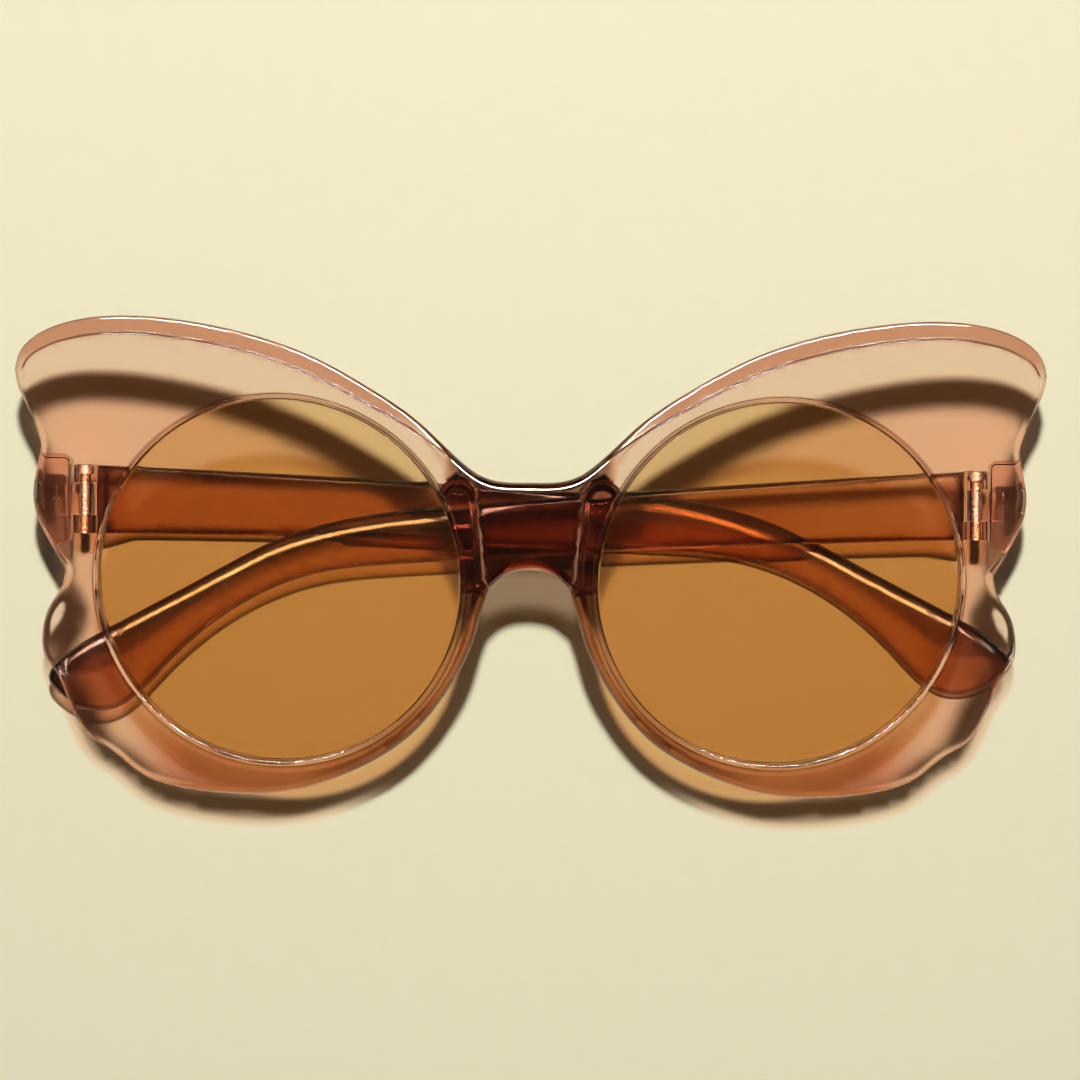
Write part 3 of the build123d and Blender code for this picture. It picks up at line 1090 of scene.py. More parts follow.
        # The face's painted shade, turned into a painted highlight near the lens openings.
        shade = self.face_marks(spots, fine=False)[:, 1] - smooth_step(away, *self.ring_reach)
        for stand in (*self.pads, *self.blocks):
            near = smooth_step(stand.inside(spots)[0], *self.stand_reach)
            light = np.minimum(light, 1 - near * self.stand_dark)
        for block in self.blocks:
            on_block = smooth_step(block.inside(spots)[0], -self.block_draft, 0)
            shade = np.maximum(shade, self.block_shade * on_block)
        for pad in self.pads:
            depth, _ = pad.inside(spots)
            pad_shade = np.where(depth > self.pad_rim, on_lines(PAD_LINES, spots[:, 1]), 1.0)
            shade = np.where(depth > -self.pad_draft, pad_shade, shade)
        return np.column_stack([light, np.clip(shade, -1, 1)])

    def opening_lines(self, surface: Rule) -> list[Outline]:
        """Lines along which the lens openings cut a height surface."""
        return [Outline(seat.rim(seat.radius, surface)[:, :2]) for seat in self.seats]

    def build(self) -> bpy.types.Object:
        """Makes the front with its middle knuckles.

        Returns:
            The front as one object.
        """
        self.face_openings = self.opening_lines(self.bare_face)
        self.back_openings = self.opening_lines(self.bare_back)
        draft = MeshDraft()
        rim = self.outline
        rules = self.face, self.face_seeds(), self.spacing, True, self.face_marks
        tops = Surface(rim, self.face_openings, *rules).add_to(draft)
        rules = self.back, self.back_seeds(), self.spacing, False, self.back_marks
        bottoms = Surface(rim, self.back_openings, *rules).add_to(draft)
        level = np.zeros(len(rim.points))
        draft.add_strip(tops[0], bottoms[0], np.column_stack([-rim.inward_normals, level]))
        for seat, top, bottom in zip(self.seats, tops[1:], bottoms[1:]):
            self.add_groove(draft, seat, top, bottom)
        plate = draft.build("moulded_front", self.bow.matrix, self.bow.shift)
        return join([plate, *(self.build_knuckle(hinge) for hinge in self.hinges)], "moulded_front")

    def face_seeds(self) -> list[Array]:
        """Draws rows of points along the face's edge, crease, lens openings and lines of shade.

        Returns:
            The rows.
        """
        border, radius = self.outline.traits.T
        seeds = [self.outline.ring(radius * share) for share in ROUND_ROWS]
        seeds += [self.outline.ring(border + self.crease_gap + gap) for gap in CREASE_ROWS]
        seeds += [opening.ring(-gap) for opening in self.face_openings for gap in OPENING_ROWS]
        seeds += [self.outline.ring(depth) for depth, _ in OUTER_LINES[1:] + EDGE_LINES[1:]]
        return seeds

    def back_seeds(self) -> list[Array]:
        """Draws rows of points along the back's edge, lens openings, nose pads and end blocks.

        Returns:
            The rows.
        """
        radius = self.outline.traits[:, 1]
        seeds = [self.outline.ring(self.back_share * radius * share) for share in ROUND_ROWS]
        seeds += [opening.ring(-gap) for opening in self.back_openings for gap in OPENING_ROWS]
        for pad in self.pads:
            seeds += [pad.ring(gap) for gap in PAD_ROWS]
            across = np.linspace(pad.points[:, 0].min(), pad.points[:, 0].max(), self.pad_points)
            seeds += [np.column_stack([across, np.full(len(across), y)]) for y, _ in PAD_LINES]
        seeds += [block.ring(gap) for block in self.blocks for gap in BLOCK_ROWS]
        seeds += [dimple.ring(gap) for dimple in self.dimples for gap in DIMPLE_ROWS]
        return seeds

    def add_groove(self, draft: MeshDraft, seat: LensSeat, top: Array, bottom: Array) -> None:
        """Lines a lens opening with its wall and groove.

        Args:
            draft: The front's mesh.
            seat: The opening's seat.
            top: Numbers of the points along the opening's upper rim.
            bottom: Numbers of the points along its lower rim.
        """
        deep = seat.radius + seat.groove_depth
        profile = [
            (seat.radius, seat.groove_width / 2),
            (deep, seat.groove_floor / 2),
            (deep, -seat.groove_floor / 2),
            (seat.radius, -seat.groove_width / 2),
        ]
        rows = [top, *(draft.add_points(seat.circle(*spot)) for spot in profile), bottom]
        ends = [(seat.radius, self.plate), *profile, (seat.radius, -self.plate)]
        turn = np.outer(np.cos(seat.angles), seat.true_across)
        turn = turn + np.outer(np.sin(seat.angles), seat.true_up)
        draft.add_turned(ends, rows, turn @ seat.bow.matrix, seat.upright, outward=False)

    def build_knuckle(self, hinge: Hinge) -> bpy.types.Object:
        """Makes the middle knuckle of a hinge and the web that carries it.

        Args:
            hinge: The hinge.

        Returns:
            The knuckle as one object.
        """
        corner = self.knuckle_corner
        lowest = hinge.pin_z - hinge.stop_gap + corner
        highest = hinge.pin_z + hinge.knuckle_radius - corner
        right = self.block_middle(hinge) - corner
        circles = [(hinge.pin_x, hinge.pin_z, hinge.knuckle_radius)]
        circles += [(right, lowest, corner), (right, highest, corner)]
        shape = Outline(hull_loop(circles, self.knuckle_step))
        half = hinge.knuckle_height / 2
        return hinge.barrel(f"knuckle_{hinge.side.word}", shape, hinge.level - half, hinge.level + half)


@dataclass
class Lens:
    """Domed round lens with the bevelled rim that sits in its groove."""

    seat: LensSeat
    thickness: float = 2.0
    dome: float = 0.6
    clearance: float = 0.05
    edge: float = 0.1
    spacing: float = 1.6

    def __post_init__(self) -> None:
        """Draws the lens's rim, in its own plane."""
        self.reach = self.seat.radius - self.clearance
        self.around = np.column_stack([np.cos(self.seat.angles), np.sin(self.seat.angles)])
        self.rim = Outline(self.around * self.reach)

    def top(self, spots: Array) -> Array:
        """Works out the outer face over the lens's middle plane.

        Args:
            spots: Rows of x and y.

        Returns:
            The height at each.
        """
        curve = (self.reach**2 + self.dome**2) / (2 * self.dome)
        sunk = curve - np.sqrt(curve**2 - (spots**2).sum(1))
        return self.thickness / 2 + self.dome - sunk - rounded(self.rim.inside(spots)[0], self.edge)

    def bottom(self, spots: Array) -> Array:
        """Height of the inner face over the same plane."""
        return self.top(spots) - self.thickness + 2 * rounded(self.rim.inside(spots)[0], self.edge)

    def build(self) -> bpy.types.Object:
        """Makes the lens.

        Returns:
            The lens as one object.
        """
        seat = self.seat
        draft = MeshDraft()
        rings = [self.rim.ring(self.edge * share) for share in LENS_ROWS]
        upper = Surface(self.rim, [], self.top, rings, self.spacing, True).add_to(draft)[0]
        lower = Surface(self.rim, [], self.bottom, rings, self.spacing, False).add_to(draft)[0]
        bevel = seat.groove_width / 2 - self.clearance
        tip = seat.radius + seat.groove_depth - self.clearance
        flat = seat.groove_floor / 2 - self.clearance
        half = self.thickness / 2
        profile = [(self.reach, bevel), (tip, flat), (tip, -flat), (self.reach, -bevel)]
        turn = np.column_stack([self.around, np.zeros(len(self.around))])
        axis = np.array([0.0, 0.0, 1.0])
        rows = [draft.add_points(turn * far + axis * high) for far, high in profile]
        ends = [(self.reach, half), *profile, (self.reach, -half)]
        draft.add_turned(ends, [upper, *rows, lower], turn, axis, outward=True)
        matrix = np.column_stack([seat.true_across, seat.true_up, seat.true_axis])
        return draft.build(f"clear_lens_{seat.side.word}", matrix, seat.true_centre)


@dataclass
class Temple:
    """Moulded temple with a rounded section, a curved ear end and the outer knuckles of its hinge.

    The sizes are in millimetres. A pair of a fade holds the places where it starts and ends.
    """

    # The arm, its crowns towards the hinge and the tip, and where along it one turns into the other
    side: Side
    height: float = 10.1
    thickness: float = 2.6
    edge_radius: float = 0.8
    end_radius: float = 0.3
    outer_share: float = 0.7
    crowns: Pair = (0.35, 0.9)
    crown_reach: float = 4.6
    ear_shares: Pair = (0.42, 0.6)

    # Fades of the light at the edge, of the painted shade at the edge, the ear end and the tip, and of
    # the painted light at the hinge
    edge_reach: Pair = (0.3, 1.7)
    edge_fade: Pair = (1.3, 0.6)
    upper_look: float = 1.5
    upper_shade: float = 0.75
    upper_lean: Pair = (-0.3, 0.6)
    tip_shade: float = 0.35
    tip_reach: Pair = (16.0, 8.0)
    painted_light_side: Side = Side.LEFT
    painted_light_reach: Pair = (34.0, 16.0)

    # The boss, the droop of the wearer's left and right temple, and the spacing of the mesh
    boss_length: float = 7.0
    boss_start: float = 0.02
    boss_softness: float = 0.03
    droops: Pair = (3.5, 2.1)
    knuckle_step: float = 0.22
    knuckle_corner: float = 0.08
    spacings: Pair = (0.9, 1.2)

    def __post_init__(self) -> None:
        """Reads the temple's length, level and pin from its CAD nodes."""
        self.hinge = Hinge(self.side)
        low, high = box_mm(f"temple_{self.side.word}")
        self.level = low[2]
        tip = -low[0] if self.side is Side.LEFT else high[0]
        self.length = tip + self.hinge.pin_x
        self.droop = math.tan(math.radians(self.droops[0 if self.side is Side.LEFT else 1]))
        self.outline = self.draw_outline()

    def draw_outline(self) -> Outline:
        """Draws the outline, with x from the pin towards the tip and y upwards.

        Returns:
            The outline, with the roundness of its edge as a trait.
        """
        half = self.height / 2
        end = self.hinge.end_gap
        line = [(x * self.length, y * self.height, self.edge_radius) for x, y in TEMPLE_LINE]
        line = [(end, half, self.end_radius), *line, (end, -half, self.end_radius)]
        loop = even_loop(smooth_curve(np.array(line), STEP)[::-1], STEP)
        return Outline(loop[:, :2], loop[:, 2:])

    def inner(self, spots: Array) -> Array:
        """Works out the inner face, which lies towards the front when the temple is folded.

        Args:
            spots: Rows of x and y.

        Returns:
            The height at each.
        """
        depth, (radius,) = self.outline.inside(spots)
        end, ramp = self.hinge.end_gap, self.boss_length - self.hinge.end_gap
        boss_top = self.hinge.pin_z + self.hinge.knuckle_radius / 2 - self.level - self.thickness
        share = np.clip(1 - (spots[:, 0] - end) / ramp, 0, 1)
        level = self.thickness + boss_top * soft_ramp(share - self.boss_start, self.boss_softness)
        ear = smooth_step(spots[:, 0] / self.length, *self.ear_shares)
        crown = self.crowns[0] * (1 - ear) + self.crowns[1] * ear
        level = level - crown * np.clip(1 - depth / self.crown_reach, 0, 1) ** 2
        return level - rounded(depth, radius)

    def outer(self, spots: Array) -> Array:
        """Height of the outer face, which lies on the table."""
        depth, (radius,) = self.outline.inside(spots)
        return rounded(depth, self.outer_share * radius)

    def marks(self, spots: Array) -> Array:
        """Finds the light and shade of the inner face.

        Shade is painted dark along its edges, over the upper side of the ear end and at the tip. The
        temple on top of the other gets painted light towards its hinge.

        Args:
            spots: Rows of x and y.

        Returns:
            Rows of light and shade.
        """
        along = spots[:, 0]
        depth, _ = self.outline.inside(spots)
        edge = smooth_step(depth, *self.edge_fade)
        above, _ = self.outline.inside(spots + np.array([0, self.upper_look]))
        below, _ = self.outline.inside(spots - np.array([0, self.upper_look]))
        lean = (below - above) / (2 * self.upper_look)
        ear = smooth_step(along / self.length, *self.ear_shares)
        upper = self.upper_shade * smooth_step(lean, *self.upper_lean) * ear
        start, end = self.tip_reach
        tip = self.tip_shade * smooth_step(along, self.length - start, self.length - end)
        shade = np.max([edge, upper, tip], axis=0)
        # Painted light on this temple towards its hinge.
        if self.side is self.painted_light_side:
            shade = shade - smooth_step(along, *self.painted_light_reach) * (1 - edge)
        return np.column_stack([smooth_step(depth, *self.edge_reach), shade])

    def outer_marks(self, spots: Array) -> Array:
        """Finds the light and shade of the outer face, which lets all light pass and carries the same
        painted shade and painted light as the inner face.

        Args:
            spots: Rows of x and y.

        Returns:
            Rows of light and shade.
        """
        marks = self.marks(spots)
        marks[:, 0] = 1
        return marks

    def build(self) -> bpy.types.Object:
        """Makes the temple with its outer knuckles.

        Returns:
            The temple as one object.
        """
        draft = MeshDraft()
        radii = self.outline.traits[:, 0]
        seeds = [self.outline.ring(radii * share) for share in TEMPLE_ROWS]
        rules = self.inner, seeds, self.spacings[0], True, self.marks
        upper = Surface(self.outline, [], *rules).add_to(draft)
        rules = self.outer, seeds, self.spacings[1], False, self.outer_marks
        lower = Surface(self.outline, [], *rules).add_to(draft)
        level = np.zeros(len(self.outline.points))
        draft.add_strip(upper[0], lower[0], np.column_stack([-self.outline.inward_normals, level]))
        sign = self.side.value
        matrix = np.array([[-sign, 0, 0], [-self.droop, 1, 0], [0, 0, 1]], float)
        shift = np.array([sign * self.hinge.pin_x, self.hinge.level, self.level])
        arm = draft.build(f"arm_{self.side.word}", matrix, shift)
        return join([arm, *self.build_knuckles()], f"moulded_temple_{self.side.word}")

    def build_knuckles(self) -> list[bpy.types.Object]:
        """Makes the outer two knuckles.

        Returns:
            The upper one and the lower one.
        """
        hinge = self.hinge
        corner = self.knuckle_corner
        start = hinge.pin_x - hinge.end_gap - corner
        lowest = hinge.pin_z - hinge.knuckle_radius + corner
        circles = [
            (hinge.pin_x, hinge.pin_z, hinge.knuckle_radius),
            (start, hinge.pin_z + hinge.knuckle_radius / 2 - corner, corner),
            (start, lowest, corner),
        ]
        shape = Outline(hull_loop(circles, self.knuckle_step))
        top = hinge.level + hinge.stack / 2
        bottom = hinge.level - hinge.stack / 2
        half = hinge.knuckle_height / 2 + hinge.knuckle_gap
        upper = hinge.barrel(f"upper_{self.side.word}", shape, hinge.level + half, top)
        lower = hinge.barrel(f"lower_{self.side.word}", shape, bottom, hinge.level - half)
        return [upper, lower]


@dataclass(frozen=True)
class ClearFinish:
    """Glossy see-through plastic whose tint deepens with its thickness.

    Attributes:
        name: Name of the material.
        tint: Light that one layer of the piece's usual thickness lets through.
        surface_tint: The part of the colour that the surface itself holds.
        half_shade_tint: The same where the mesh's shade mark paints half shade into the colour.
        shade_tint: The same where the mark paints the darkest shade; below plain the mark paints a
            highlight, up to white.
        shadow_tint: Light that passes on to the table where the mesh is marked as dark.
        layer: That usual thickness, in millimetres.
        ior: How strongly it bends light.
        roughness: Roughness of its surface.
        ripple: Height of the slow waves that moulding leaves, in metres.
        dust: Share of the surface that holds specks.
    """

    name: str
    tint: Colour
    surface_tint: Colour
    half_shade_tint: Colour
    shade_tint: Colour
    shadow_tint: Colour
    layer: float
    ior: float
    roughness: float
    ripple: float
    dust: float


# Each finish's half-shade and shade tints are colours of painted shade, used where the mesh is marked.
FRONT_FINISH = ClearFinish(
    name="front_plastic",
    tint=(0.98, 0.87, 0.83),
    surface_tint=(0.97, 0.84, 0.77),
    half_shade_tint=(0.72, 0.40, 0.31),
    shade_tint=(0.15, 0.07, 0.04),
    shadow_tint=(0.07, 0.035, 0.01),
    layer=3.2,
    ior=1.53,
    roughness=0.02,
    ripple=0.00004,
    dust=0.02,
)
TEMPLE_FINISH = ClearFinish(
    name="temple_plastic",
    tint=(0.88, 0.72, 0.60),
    surface_tint=(0.92, 0.74, 0.62),
    half_shade_tint=(0.56, 0.38, 0.29),
    shade_tint=(0.14, 0.06, 0.03),
    shadow_tint=(0.16, 0.08, 0.03),
    layer=2.6,
    ior=1.53,
    roughness=0.03,
    ripple=0.00005,
    dust=0.02,
)
LENS_FINISH = ClearFinish(
    name="lens_tint",
    tint=(0.83, 0.60, 0.37),
    surface_tint=(0.97, 0.93, 0.87),
    half_shade_tint=(0.97, 0.93, 0.87),
    shade_tint=(0.97, 0.93, 0.87),
    shadow_tint=(0.3, 0.2, 0.1),
    layer=2.0,
    ior=1.5,
    roughness=0.01,
    ripple=0.00001,
    dust=0.015,
)


# Share of the plastic's lightness that a speck keeps, and the two ends of the screws' finish.
DUST_SHADE = 0.6
STEEL_COLOURS = ((0.30, 0.29, 0.27), (0.56, 0.54, 0.51))
STEEL_ROUGHNESS = (0.18, 0.38)


def node_at(
    tree: bpy.types.NodeTree, kind: str, x: float, y: float, **values: object
) -> bpy.types.Node:
    """Adds a node and sets its properties and input values.

    Args:
        tree: The tree that gets it.
        kind: The node's type.
        x: Its place across.
        y: Its place upwards.
        **values: Properties, or inputs named with their spaces as underscores.

    Returns:
        The node.
    """
    node = tree.nodes.new(kind)
    node.location = (x, y)
    for key, value in values.items():
        label = key.replace("_", " ").title()
        if hasattr(node, key):
            setattr(node, key, value)
        else:
            node.inputs[label].default_value = value
    return node


def wire(tree: bpy.types.NodeTree, *joins: Join) -> None:
    """Links nodes.

    Args:
        tree: The tree that holds them.
        *joins: Each link's first node, its output, the second node and its input.
    """
    for source, output, target, entry in joins:
        tree.links.new(source.outputs[output], target.inputs[entry])


class SurfaceEffects:
    """Shader groups that several finishes share."""

    INPUTS = (("Wave Scale", 120.0), ("Speck Scale", 900.0), ("Speck Share", 0.02), ("Roughness", 0.02))
    OUTPUTS = ("Waves", "Specks", "Roughness")
    CLUMP_SCALE = 60.0
    CLUMP_LEVEL = 0.56
    HAZE = 0.03

    def __init__(self) -> None:
        """Builds the groups once."""
        self.moulding = self.build_moulding()

    def build_moulding(self) -> bpy.types.NodeTree:
        """Builds the slow waves, fine specks and faint gloss changes of moulded plastic.

        Returns:
            The group.
        """
        group = bpy.data.node_groups.new("moulded_surface", "ShaderNodeTree")
        for name, value in self.INPUTS:
            socket = group.interface.new_socket(name, in_out="INPUT", socket_type="NodeSocketFloat")
            socket.default_value = value
        for name in self.OUTPUTS:
            group.interface.new_socket(name, in_out="OUTPUT", socket_type="NodeSocketFloat")
        start = node_at(group, "NodeGroupInput", -900, 0)
        end = node_at(group, "NodeGroupOutput", 500, 0)
        place = node_at(group, "ShaderNodeTexCoord", -900, -300)
        waves = node_at(group, "ShaderNodeTexNoise", -600, 200, Detail=1.0, Roughness=0.4)
        specks = node_at(group, "ShaderNodeTexVoronoi", -600, -100)
        clumps = node_at(group, "ShaderNodeTexNoise", -600, -400, Detail=2.0, Scale=self.CLUMP_SCALE)
        near = node_at(group, "ShaderNodeMath", -350, -100, operation="LESS_THAN")
        chosen = node_at(group, "ShaderNodeMath", -350, -300, operation="GREATER_THAN")
        chosen.inputs[1].default_value = self.CLUMP_LEVEL
        both = node_at(group, "ShaderNodeMath", -150, -200, operation="MULTIPLY")
        haze = node_at(group, "ShaderNodeMath", 50, -350, operation="MULTIPLY_ADD")
        haze.inputs[1].default_value = self.HAZE
        wire(
            group,
            *((place, "Object", node, "Vector") for node in (waves, specks, clumps)),
            (start, "Wave Scale", waves, "Scale"),
            (start, "Speck Scale", specks, "Scale"),
            (specks, "Distance", near, 0),
            (start, "Speck Share", near, 1),
            (clumps, "Fac", chosen, 0),
            (near, 0, both, 0),
            (chosen, 0, both, 1),
            (clumps, "Fac", haze, 0),
            (start, "Roughness", haze, 2),
            (waves, "Fac", end, "Waves"),
            (both, 0, end, "Specks"),
            (haze, 0, end, "Roughness"),
        )
        return group


def clear_material(finish: ClearFinish, effects: SurfaceEffects) -> bpy.types.Material:
    """Makes a see-through plastic.

    Light for the table passes it straight and tinted, less where the mesh's light mark is low. Its
    colour carries the mesh's shade mark painted in, from a painted highlight to painted shade.

    Args:
        finish: The plastic's values.
        effects: The shared groups.

    Returns:
        The material.
    """
    material = bpy.data.materials.new(finish.name)
    material.use_nodes = True
    tree = material.node_tree
    tree.nodes.clear()
    output = node_at(tree, "ShaderNodeOutputMaterial", 700, 0)
    mix = node_at(tree, "ShaderNodeMixShader", 500, 0)
    plastic = node_at(tree, "ShaderNodeBsdfPrincipled", 100, 0)
    plastic.inputs["IOR"].default_value = finish.ior
    plastic.inputs["Transmission Weight"].default_value = 1.0
    moulding = node_at(tree, "ShaderNodeGroup", -700, 0, node_tree=effects.moulding)
    moulding.inputs["Speck Share"].default_value = finish.dust
    moulding.inputs["Roughness"].default_value = finish.roughness
    shade = node_at(tree, "ShaderNodeAttribute", -700, 400, attribute_name="shade")
    middle = node_at(tree, "ShaderNodeMath", -600, 300, operation="MULTIPLY_ADD")
    middle.inputs[1].default_value = middle.inputs[2].default_value = 0.5
    # The ramp paints the shade mark into the colour: white as painted highlight, the plain tint, then
    # painted half shade and the darkest painted shade.
    base = node_at(tree, "ShaderNodeValToRGB", -450, 300)
    base.color_ramp.elements[0].color = (1, 1, 1, 1)
    base.color_ramp.elements[1].color = (*finish.shade_tint, 1)
    base.color_ramp.elements.new(0.5).color = (*finish.surface_tint, 1)
    base.color_ramp.elements.new(0.75).color = (*finish.half_shade_tint, 1)
    colour = node_at(tree, "ShaderNodeMix", -200, 200, data_type="RGBA")
    colour.inputs["B"].default_value = (*(DUST_SHADE * channel for channel in finish.surface_tint), 1)
    bump = node_at(tree, "ShaderNodeBump", -200, -300)
    bump.inputs["Distance"].default_value = finish.ripple
    bump.inputs["Strength"].default_value = 1.0
    light = node_at(tree, "ShaderNodeLightPath", 100, 500)
    straight = node_at(tree, "ShaderNodeMath", 300, 400, operation="MAXIMUM")
    passing = node_at(tree, "ShaderNodeAttribute", -200, -500, attribute_name="light")
    passed = node_at(tree, "ShaderNodeMix", 100, -400, data_type="RGBA")
    passed.inputs["A"].default_value = (*finish.shadow_tint, 1)
    passed.inputs["B"].default_value = (*(math.sqrt(channel) for channel in finish.surface_tint), 1)
    through = node_at(tree, "ShaderNodeBsdfTransparent", 300, -300)
    depth = node_at(tree, "ShaderNodeVolumeAbsorption", 400, -500)
    strength = [-math.log(channel) / (finish.layer * MM) for channel in finish.tint]
    density = max(strength)
    depth.inputs["Density"].default_value = density
    depth.inputs["Color"].default_value = (*(1 - s / density for s in strength), 1)
    wire(
        tree,
        (shade, "Fac", middle, 0),
        (middle, 0, base, "Fac"),
        (base, "Color", colour, "A"),
        (moulding, "Specks", colour, "Factor"),
        (colour, "Result", plastic, "Base Color"),
        (moulding, "Roughness", plastic, "Roughness"),
        (moulding, "Waves", bump, "Height"),
        (bump, "Normal", plastic, "Normal"),
        (light, "Is Shadow Ray", straight, 0),
        (light, "Is Diffuse Ray", straight, 1),
        (straight, 0, mix, "Fac"),
        (plastic, 0, mix, 1),
        (passing, "Fac", passed, "Factor"),
        (passed, "Result", through, "Color"),
        (through, 0, mix, 2),
        (mix, 0, output, "Surface"),
        (depth, 0, output, "Volume"),
    )
    return material


def steel_material() -> bpy.types.Material:
    """Makes the bright turned steel of the screws.

    Returns:
        The material.
    """
    material = bpy.data.materials.new("screw_steel")
    material.use_nodes = True
    tree = material.node_tree
    plain = tree.nodes["Principled BSDF"]
    plain.inputs["Metallic"].default_value = 1.0
    place = node_at(tree, "ShaderNodeTexCoord", -900, 0)
    turned = node_at(tree, "ShaderNodeTexNoise", -700, 0, Scale=2500.0, Detail=3.0)
    ramp = node_at(tree, "ShaderNodeValToRGB", -450, 100)
    for element, colour in zip(ramp.color_ramp.elements, STEEL_COLOURS):
        element.color = (*colour, 1)
    gloss = node_at(tree, "ShaderNodeMapRange", -450, -200)
    gloss.inputs["To Min"].default_value, gloss.inputs["To Max"].default_value = STEEL_ROUGHNESS
    wire(
        tree,
        (place, "Object", turned, "Vector"),
        (turned, "Fac", ramp, "Fac"),
        (turned, "Fac", gloss, "Value"),
        (ramp, "Color", plain, "Base Color"),
        (gloss, "Result", plain, "Roughness"),
    )
    return material


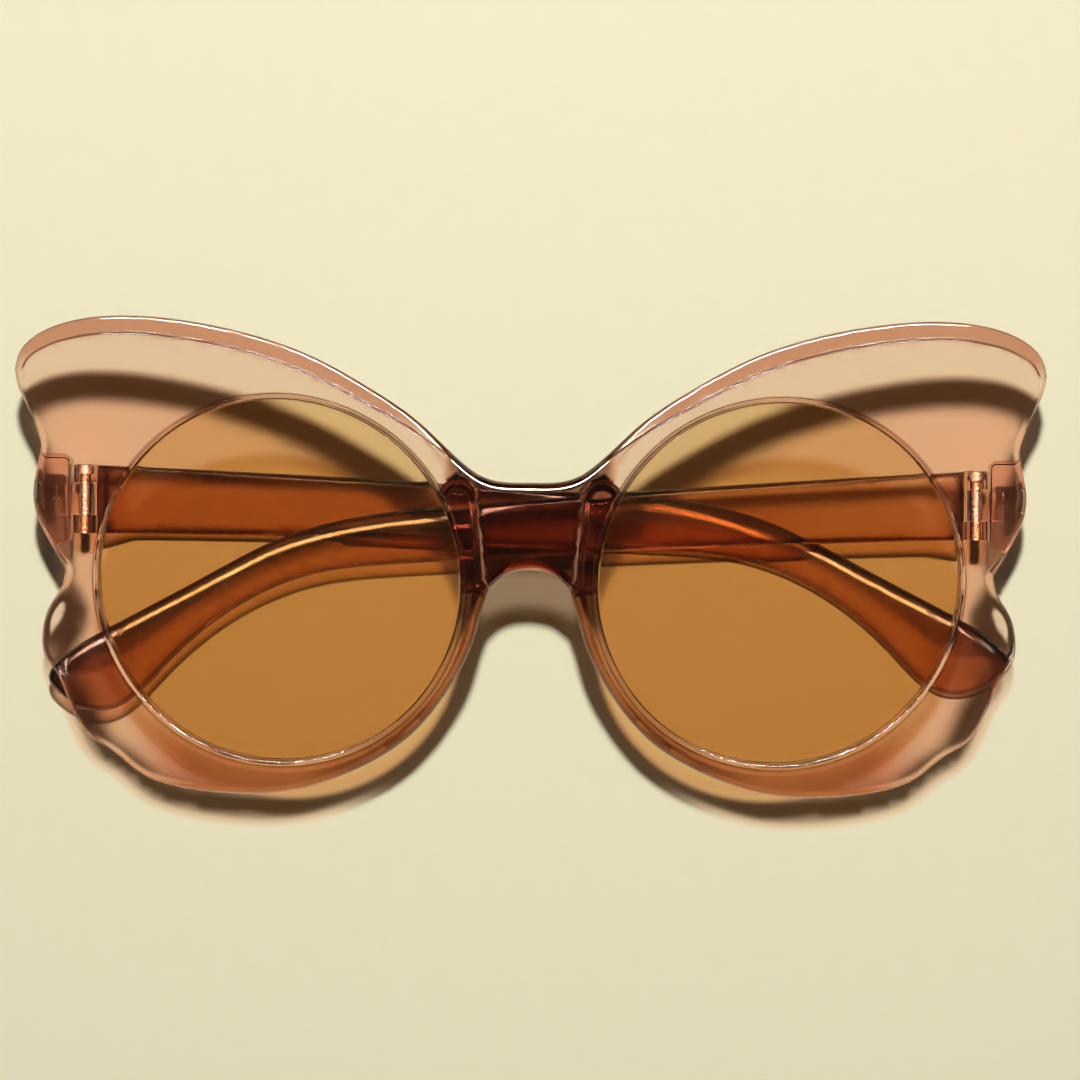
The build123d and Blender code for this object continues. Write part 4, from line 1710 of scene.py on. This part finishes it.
@dataclass
class Studio:
    """Pale table, one small bright lamp beyond the brow, soft surroundings and the camera above."""

    camera_height: float = 0.6
    half_view: float = 0.0784
    view_plane: float = 0.014
    target: Pair = (0.00152, 0.00305)
    roll: float = 0.45
    lamp_distance: float = 0.9
    lamp_tilt: float = 26.0
    lamp_swing: float = 1.0
    lamp_size: float = 0.06
    lamp_power: float = 8.1
    lamp_colour: Colour = (1.0, 0.985, 0.96)
    softbox_power: float = 80.0
    softbox_size: Pair = (1.0, 0.07)
    fill: float = 0.07
    room_colours: tuple[tuple[float, Colour], ...] = (
        (0.0, (0.04, 0.035, 0.03)),
        (0.8, (0.5, 0.45, 0.38)),
        (1.0, (1.0, 0.92, 0.8)),
    )
    table_reach: float = 1.5
    table_level: float = -0.00002
    table_colours: tuple[Colour, Colour] = ((0.845, 0.790, 0.540), (0.875, 0.825, 0.575))
    sensor: float = 36.0
    clip: Pair = (0.01, 10.0)

    def build(self) -> None:
        """Makes the table, the lamp, the surroundings and the camera."""
        self.build_table()
        self.build_lamp()
        self.build_world()
        self.build_camera()

    def build_table(self) -> None:
        """Makes the table top."""
        half = self.table_reach
        mesh = bpy.data.meshes.new("table")
        corners = [(-half, -half), (half, -half), (half, half), (-half, half)]
        mesh.from_pydata([(x, y, self.table_level) for x, y in corners], [], [(0, 1, 2, 3)])
        table = bpy.data.objects.new("table", mesh)
        bpy.context.scene.collection.objects.link(table)
        material = bpy.data.materials.new("pale_table")
        material.use_nodes = True
        tree = material.node_tree
        plain = tree.nodes["Principled BSDF"]
        plain.inputs["Roughness"].default_value = 0.9
        plain.inputs["Specular IOR Level"].default_value = 0.1
        place = node_at(tree, "ShaderNodeTexCoord", -800, 0)
        noise = node_at(tree, "ShaderNodeTexNoise", -600, 0, Scale=300.0, Detail=6.0)
        ramp = node_at(tree, "ShaderNodeValToRGB", -350, 0)
        for element, colour in zip(ramp.color_ramp.elements, self.table_colours):
            element.color = (*colour, 1)
        wire(
            tree,
            (place, "Object", noise, "Vector"),
            (noise, "Fac", ramp, "Fac"),
            (ramp, "Color", plain, "Base Color"),
        )
        mesh.materials.append(material)
        table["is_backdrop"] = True

    def build_lamp(self) -> None:
        """Makes the lamp beyond the brow and the wide soft box round it."""
        tilt, swing = math.radians(self.lamp_tilt), math.radians(self.lamp_swing)
        low = math.sin(tilt)
        away = Vector((math.sin(swing) * low, math.cos(swing) * low, math.cos(tilt)))
        for name, shape, power in (
            ("lamp", "DISK", self.lamp_power),
            ("softbox", "RECTANGLE", self.softbox_power),
        ):
            data = bpy.data.lights.new(name, "AREA")
            data.shape = shape
            data.energy = power
            data.color = self.lamp_colour
            if shape == "DISK":
                data.size = self.lamp_size
            else:
                data.size, data.size_y = self.softbox_size
            lamp = bpy.data.objects.new(name, data)
            lamp.location = away * self.lamp_distance
            lamp.rotation_euler = away.to_track_quat("Z", "Y").to_euler()
            lamp.visible_diffuse = shape == "DISK"
            bpy.context.scene.collection.objects.link(lamp)

    def build_world(self) -> None:
        """Makes soft surroundings, paler overhead than at the horizon."""
        world = bpy.data.worlds.new("soft_room")
        world.use_nodes = True
        tree = world.node_tree
        sky = tree.nodes["Background"]
        sky.inputs["Strength"].default_value = self.fill
        place = node_at(tree, "ShaderNodeTexCoord", -800, 0)
        split = node_at(tree, "ShaderNodeSeparateXYZ", -600, 0)
        ramp = node_at(tree, "ShaderNodeValToRGB", -400, 0)
        ramp.color_ramp.elements.new(self.room_colours[1][0])
        for element, (_, colour) in zip(ramp.color_ramp.elements, self.room_colours):
            element.color = (*colour, 1)
        wire(
            tree,
            (place, "Generated", split, 0),
            (split, "Z", ramp, "Fac"),
            (ramp, "Color", sky, "Color"),
        )
        bpy.context.scene.world = world

    def build_camera(self) -> None:
        """Makes the camera, straight above the glasses."""
        data = bpy.data.cameras.new("camera")
        data.sensor_width = self.sensor
        distance = self.camera_height - self.view_plane
        data.lens = data.sensor_width / 2 * distance / self.half_view
        data.clip_start, data.clip_end = self.clip
        camera = bpy.data.objects.new("camera", data)
        camera.location = (*self.target, self.camera_height)
        camera.rotation_euler = (0, 0, math.radians(self.roll))
        bpy.context.scene.collection.objects.link(camera)
        bpy.context.scene.camera = camera


def dress(piece: bpy.types.Object, material: bpy.types.Material) -> None:
    """Gives a piece one material all over."""
    piece.data.materials.clear()
    piece.data.materials.append(material)


def write_sizes() -> None:
    """Works out the CAD box and the visual model's box as plain lists, and neither writes nor returns
    them.
    """
    boxes = {"cad": cad_box, "visual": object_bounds()}
    boxes = {name: [list(corner) for corner in box] for name, box in boxes.items()}


def main() -> None:
    """Builds the glasses and their setting."""
    logging.basicConfig(level=logging.INFO, format="%(message)s")
    scene = bpy.context.scene
    scene.view_settings.view_transform = "Standard"
    scene.cycles.max_bounces = scene.cycles.transparent_max_bounces = MOST_BOUNCES
    scene.cycles.transmission_bounces = CLEAR_BOUNCES
    effects = SurfaceEffects()
    front_plastic = clear_material(FRONT_FINISH, effects)
    temple_plastic = clear_material(TEMPLE_FINISH, effects)
    lens_tint = clear_material(LENS_FINISH, effects)
    steel = steel_material()
    moulding = Front()
    front = moulding.build()
    dress(front, front_plastic)
    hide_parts("frame_front")
    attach(front, "front")
    log.info("front: %d faces", len(front.data.polygons))
    for side in Side:
        temple = Temple(side).build()
        dress(temple, temple_plastic)
        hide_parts(f"temple_{side.word}")
        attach(temple, f"temple_{side.word}")
        log.info("%s temple: %d faces", side.word, len(temple.data.polygons))
        dress(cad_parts[f"hinge_screw_{side.word}"], steel)
    for seat in moulding.seats:
        lens = Lens(seat).build()
        dress(lens, lens_tint)
        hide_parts(f"lens_{seat.side.word}")
        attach(lens, "front")
    Studio().build()
    bpy.context.view_layer.update()
    write_sizes()


if __name__ == "__main__":
    main()
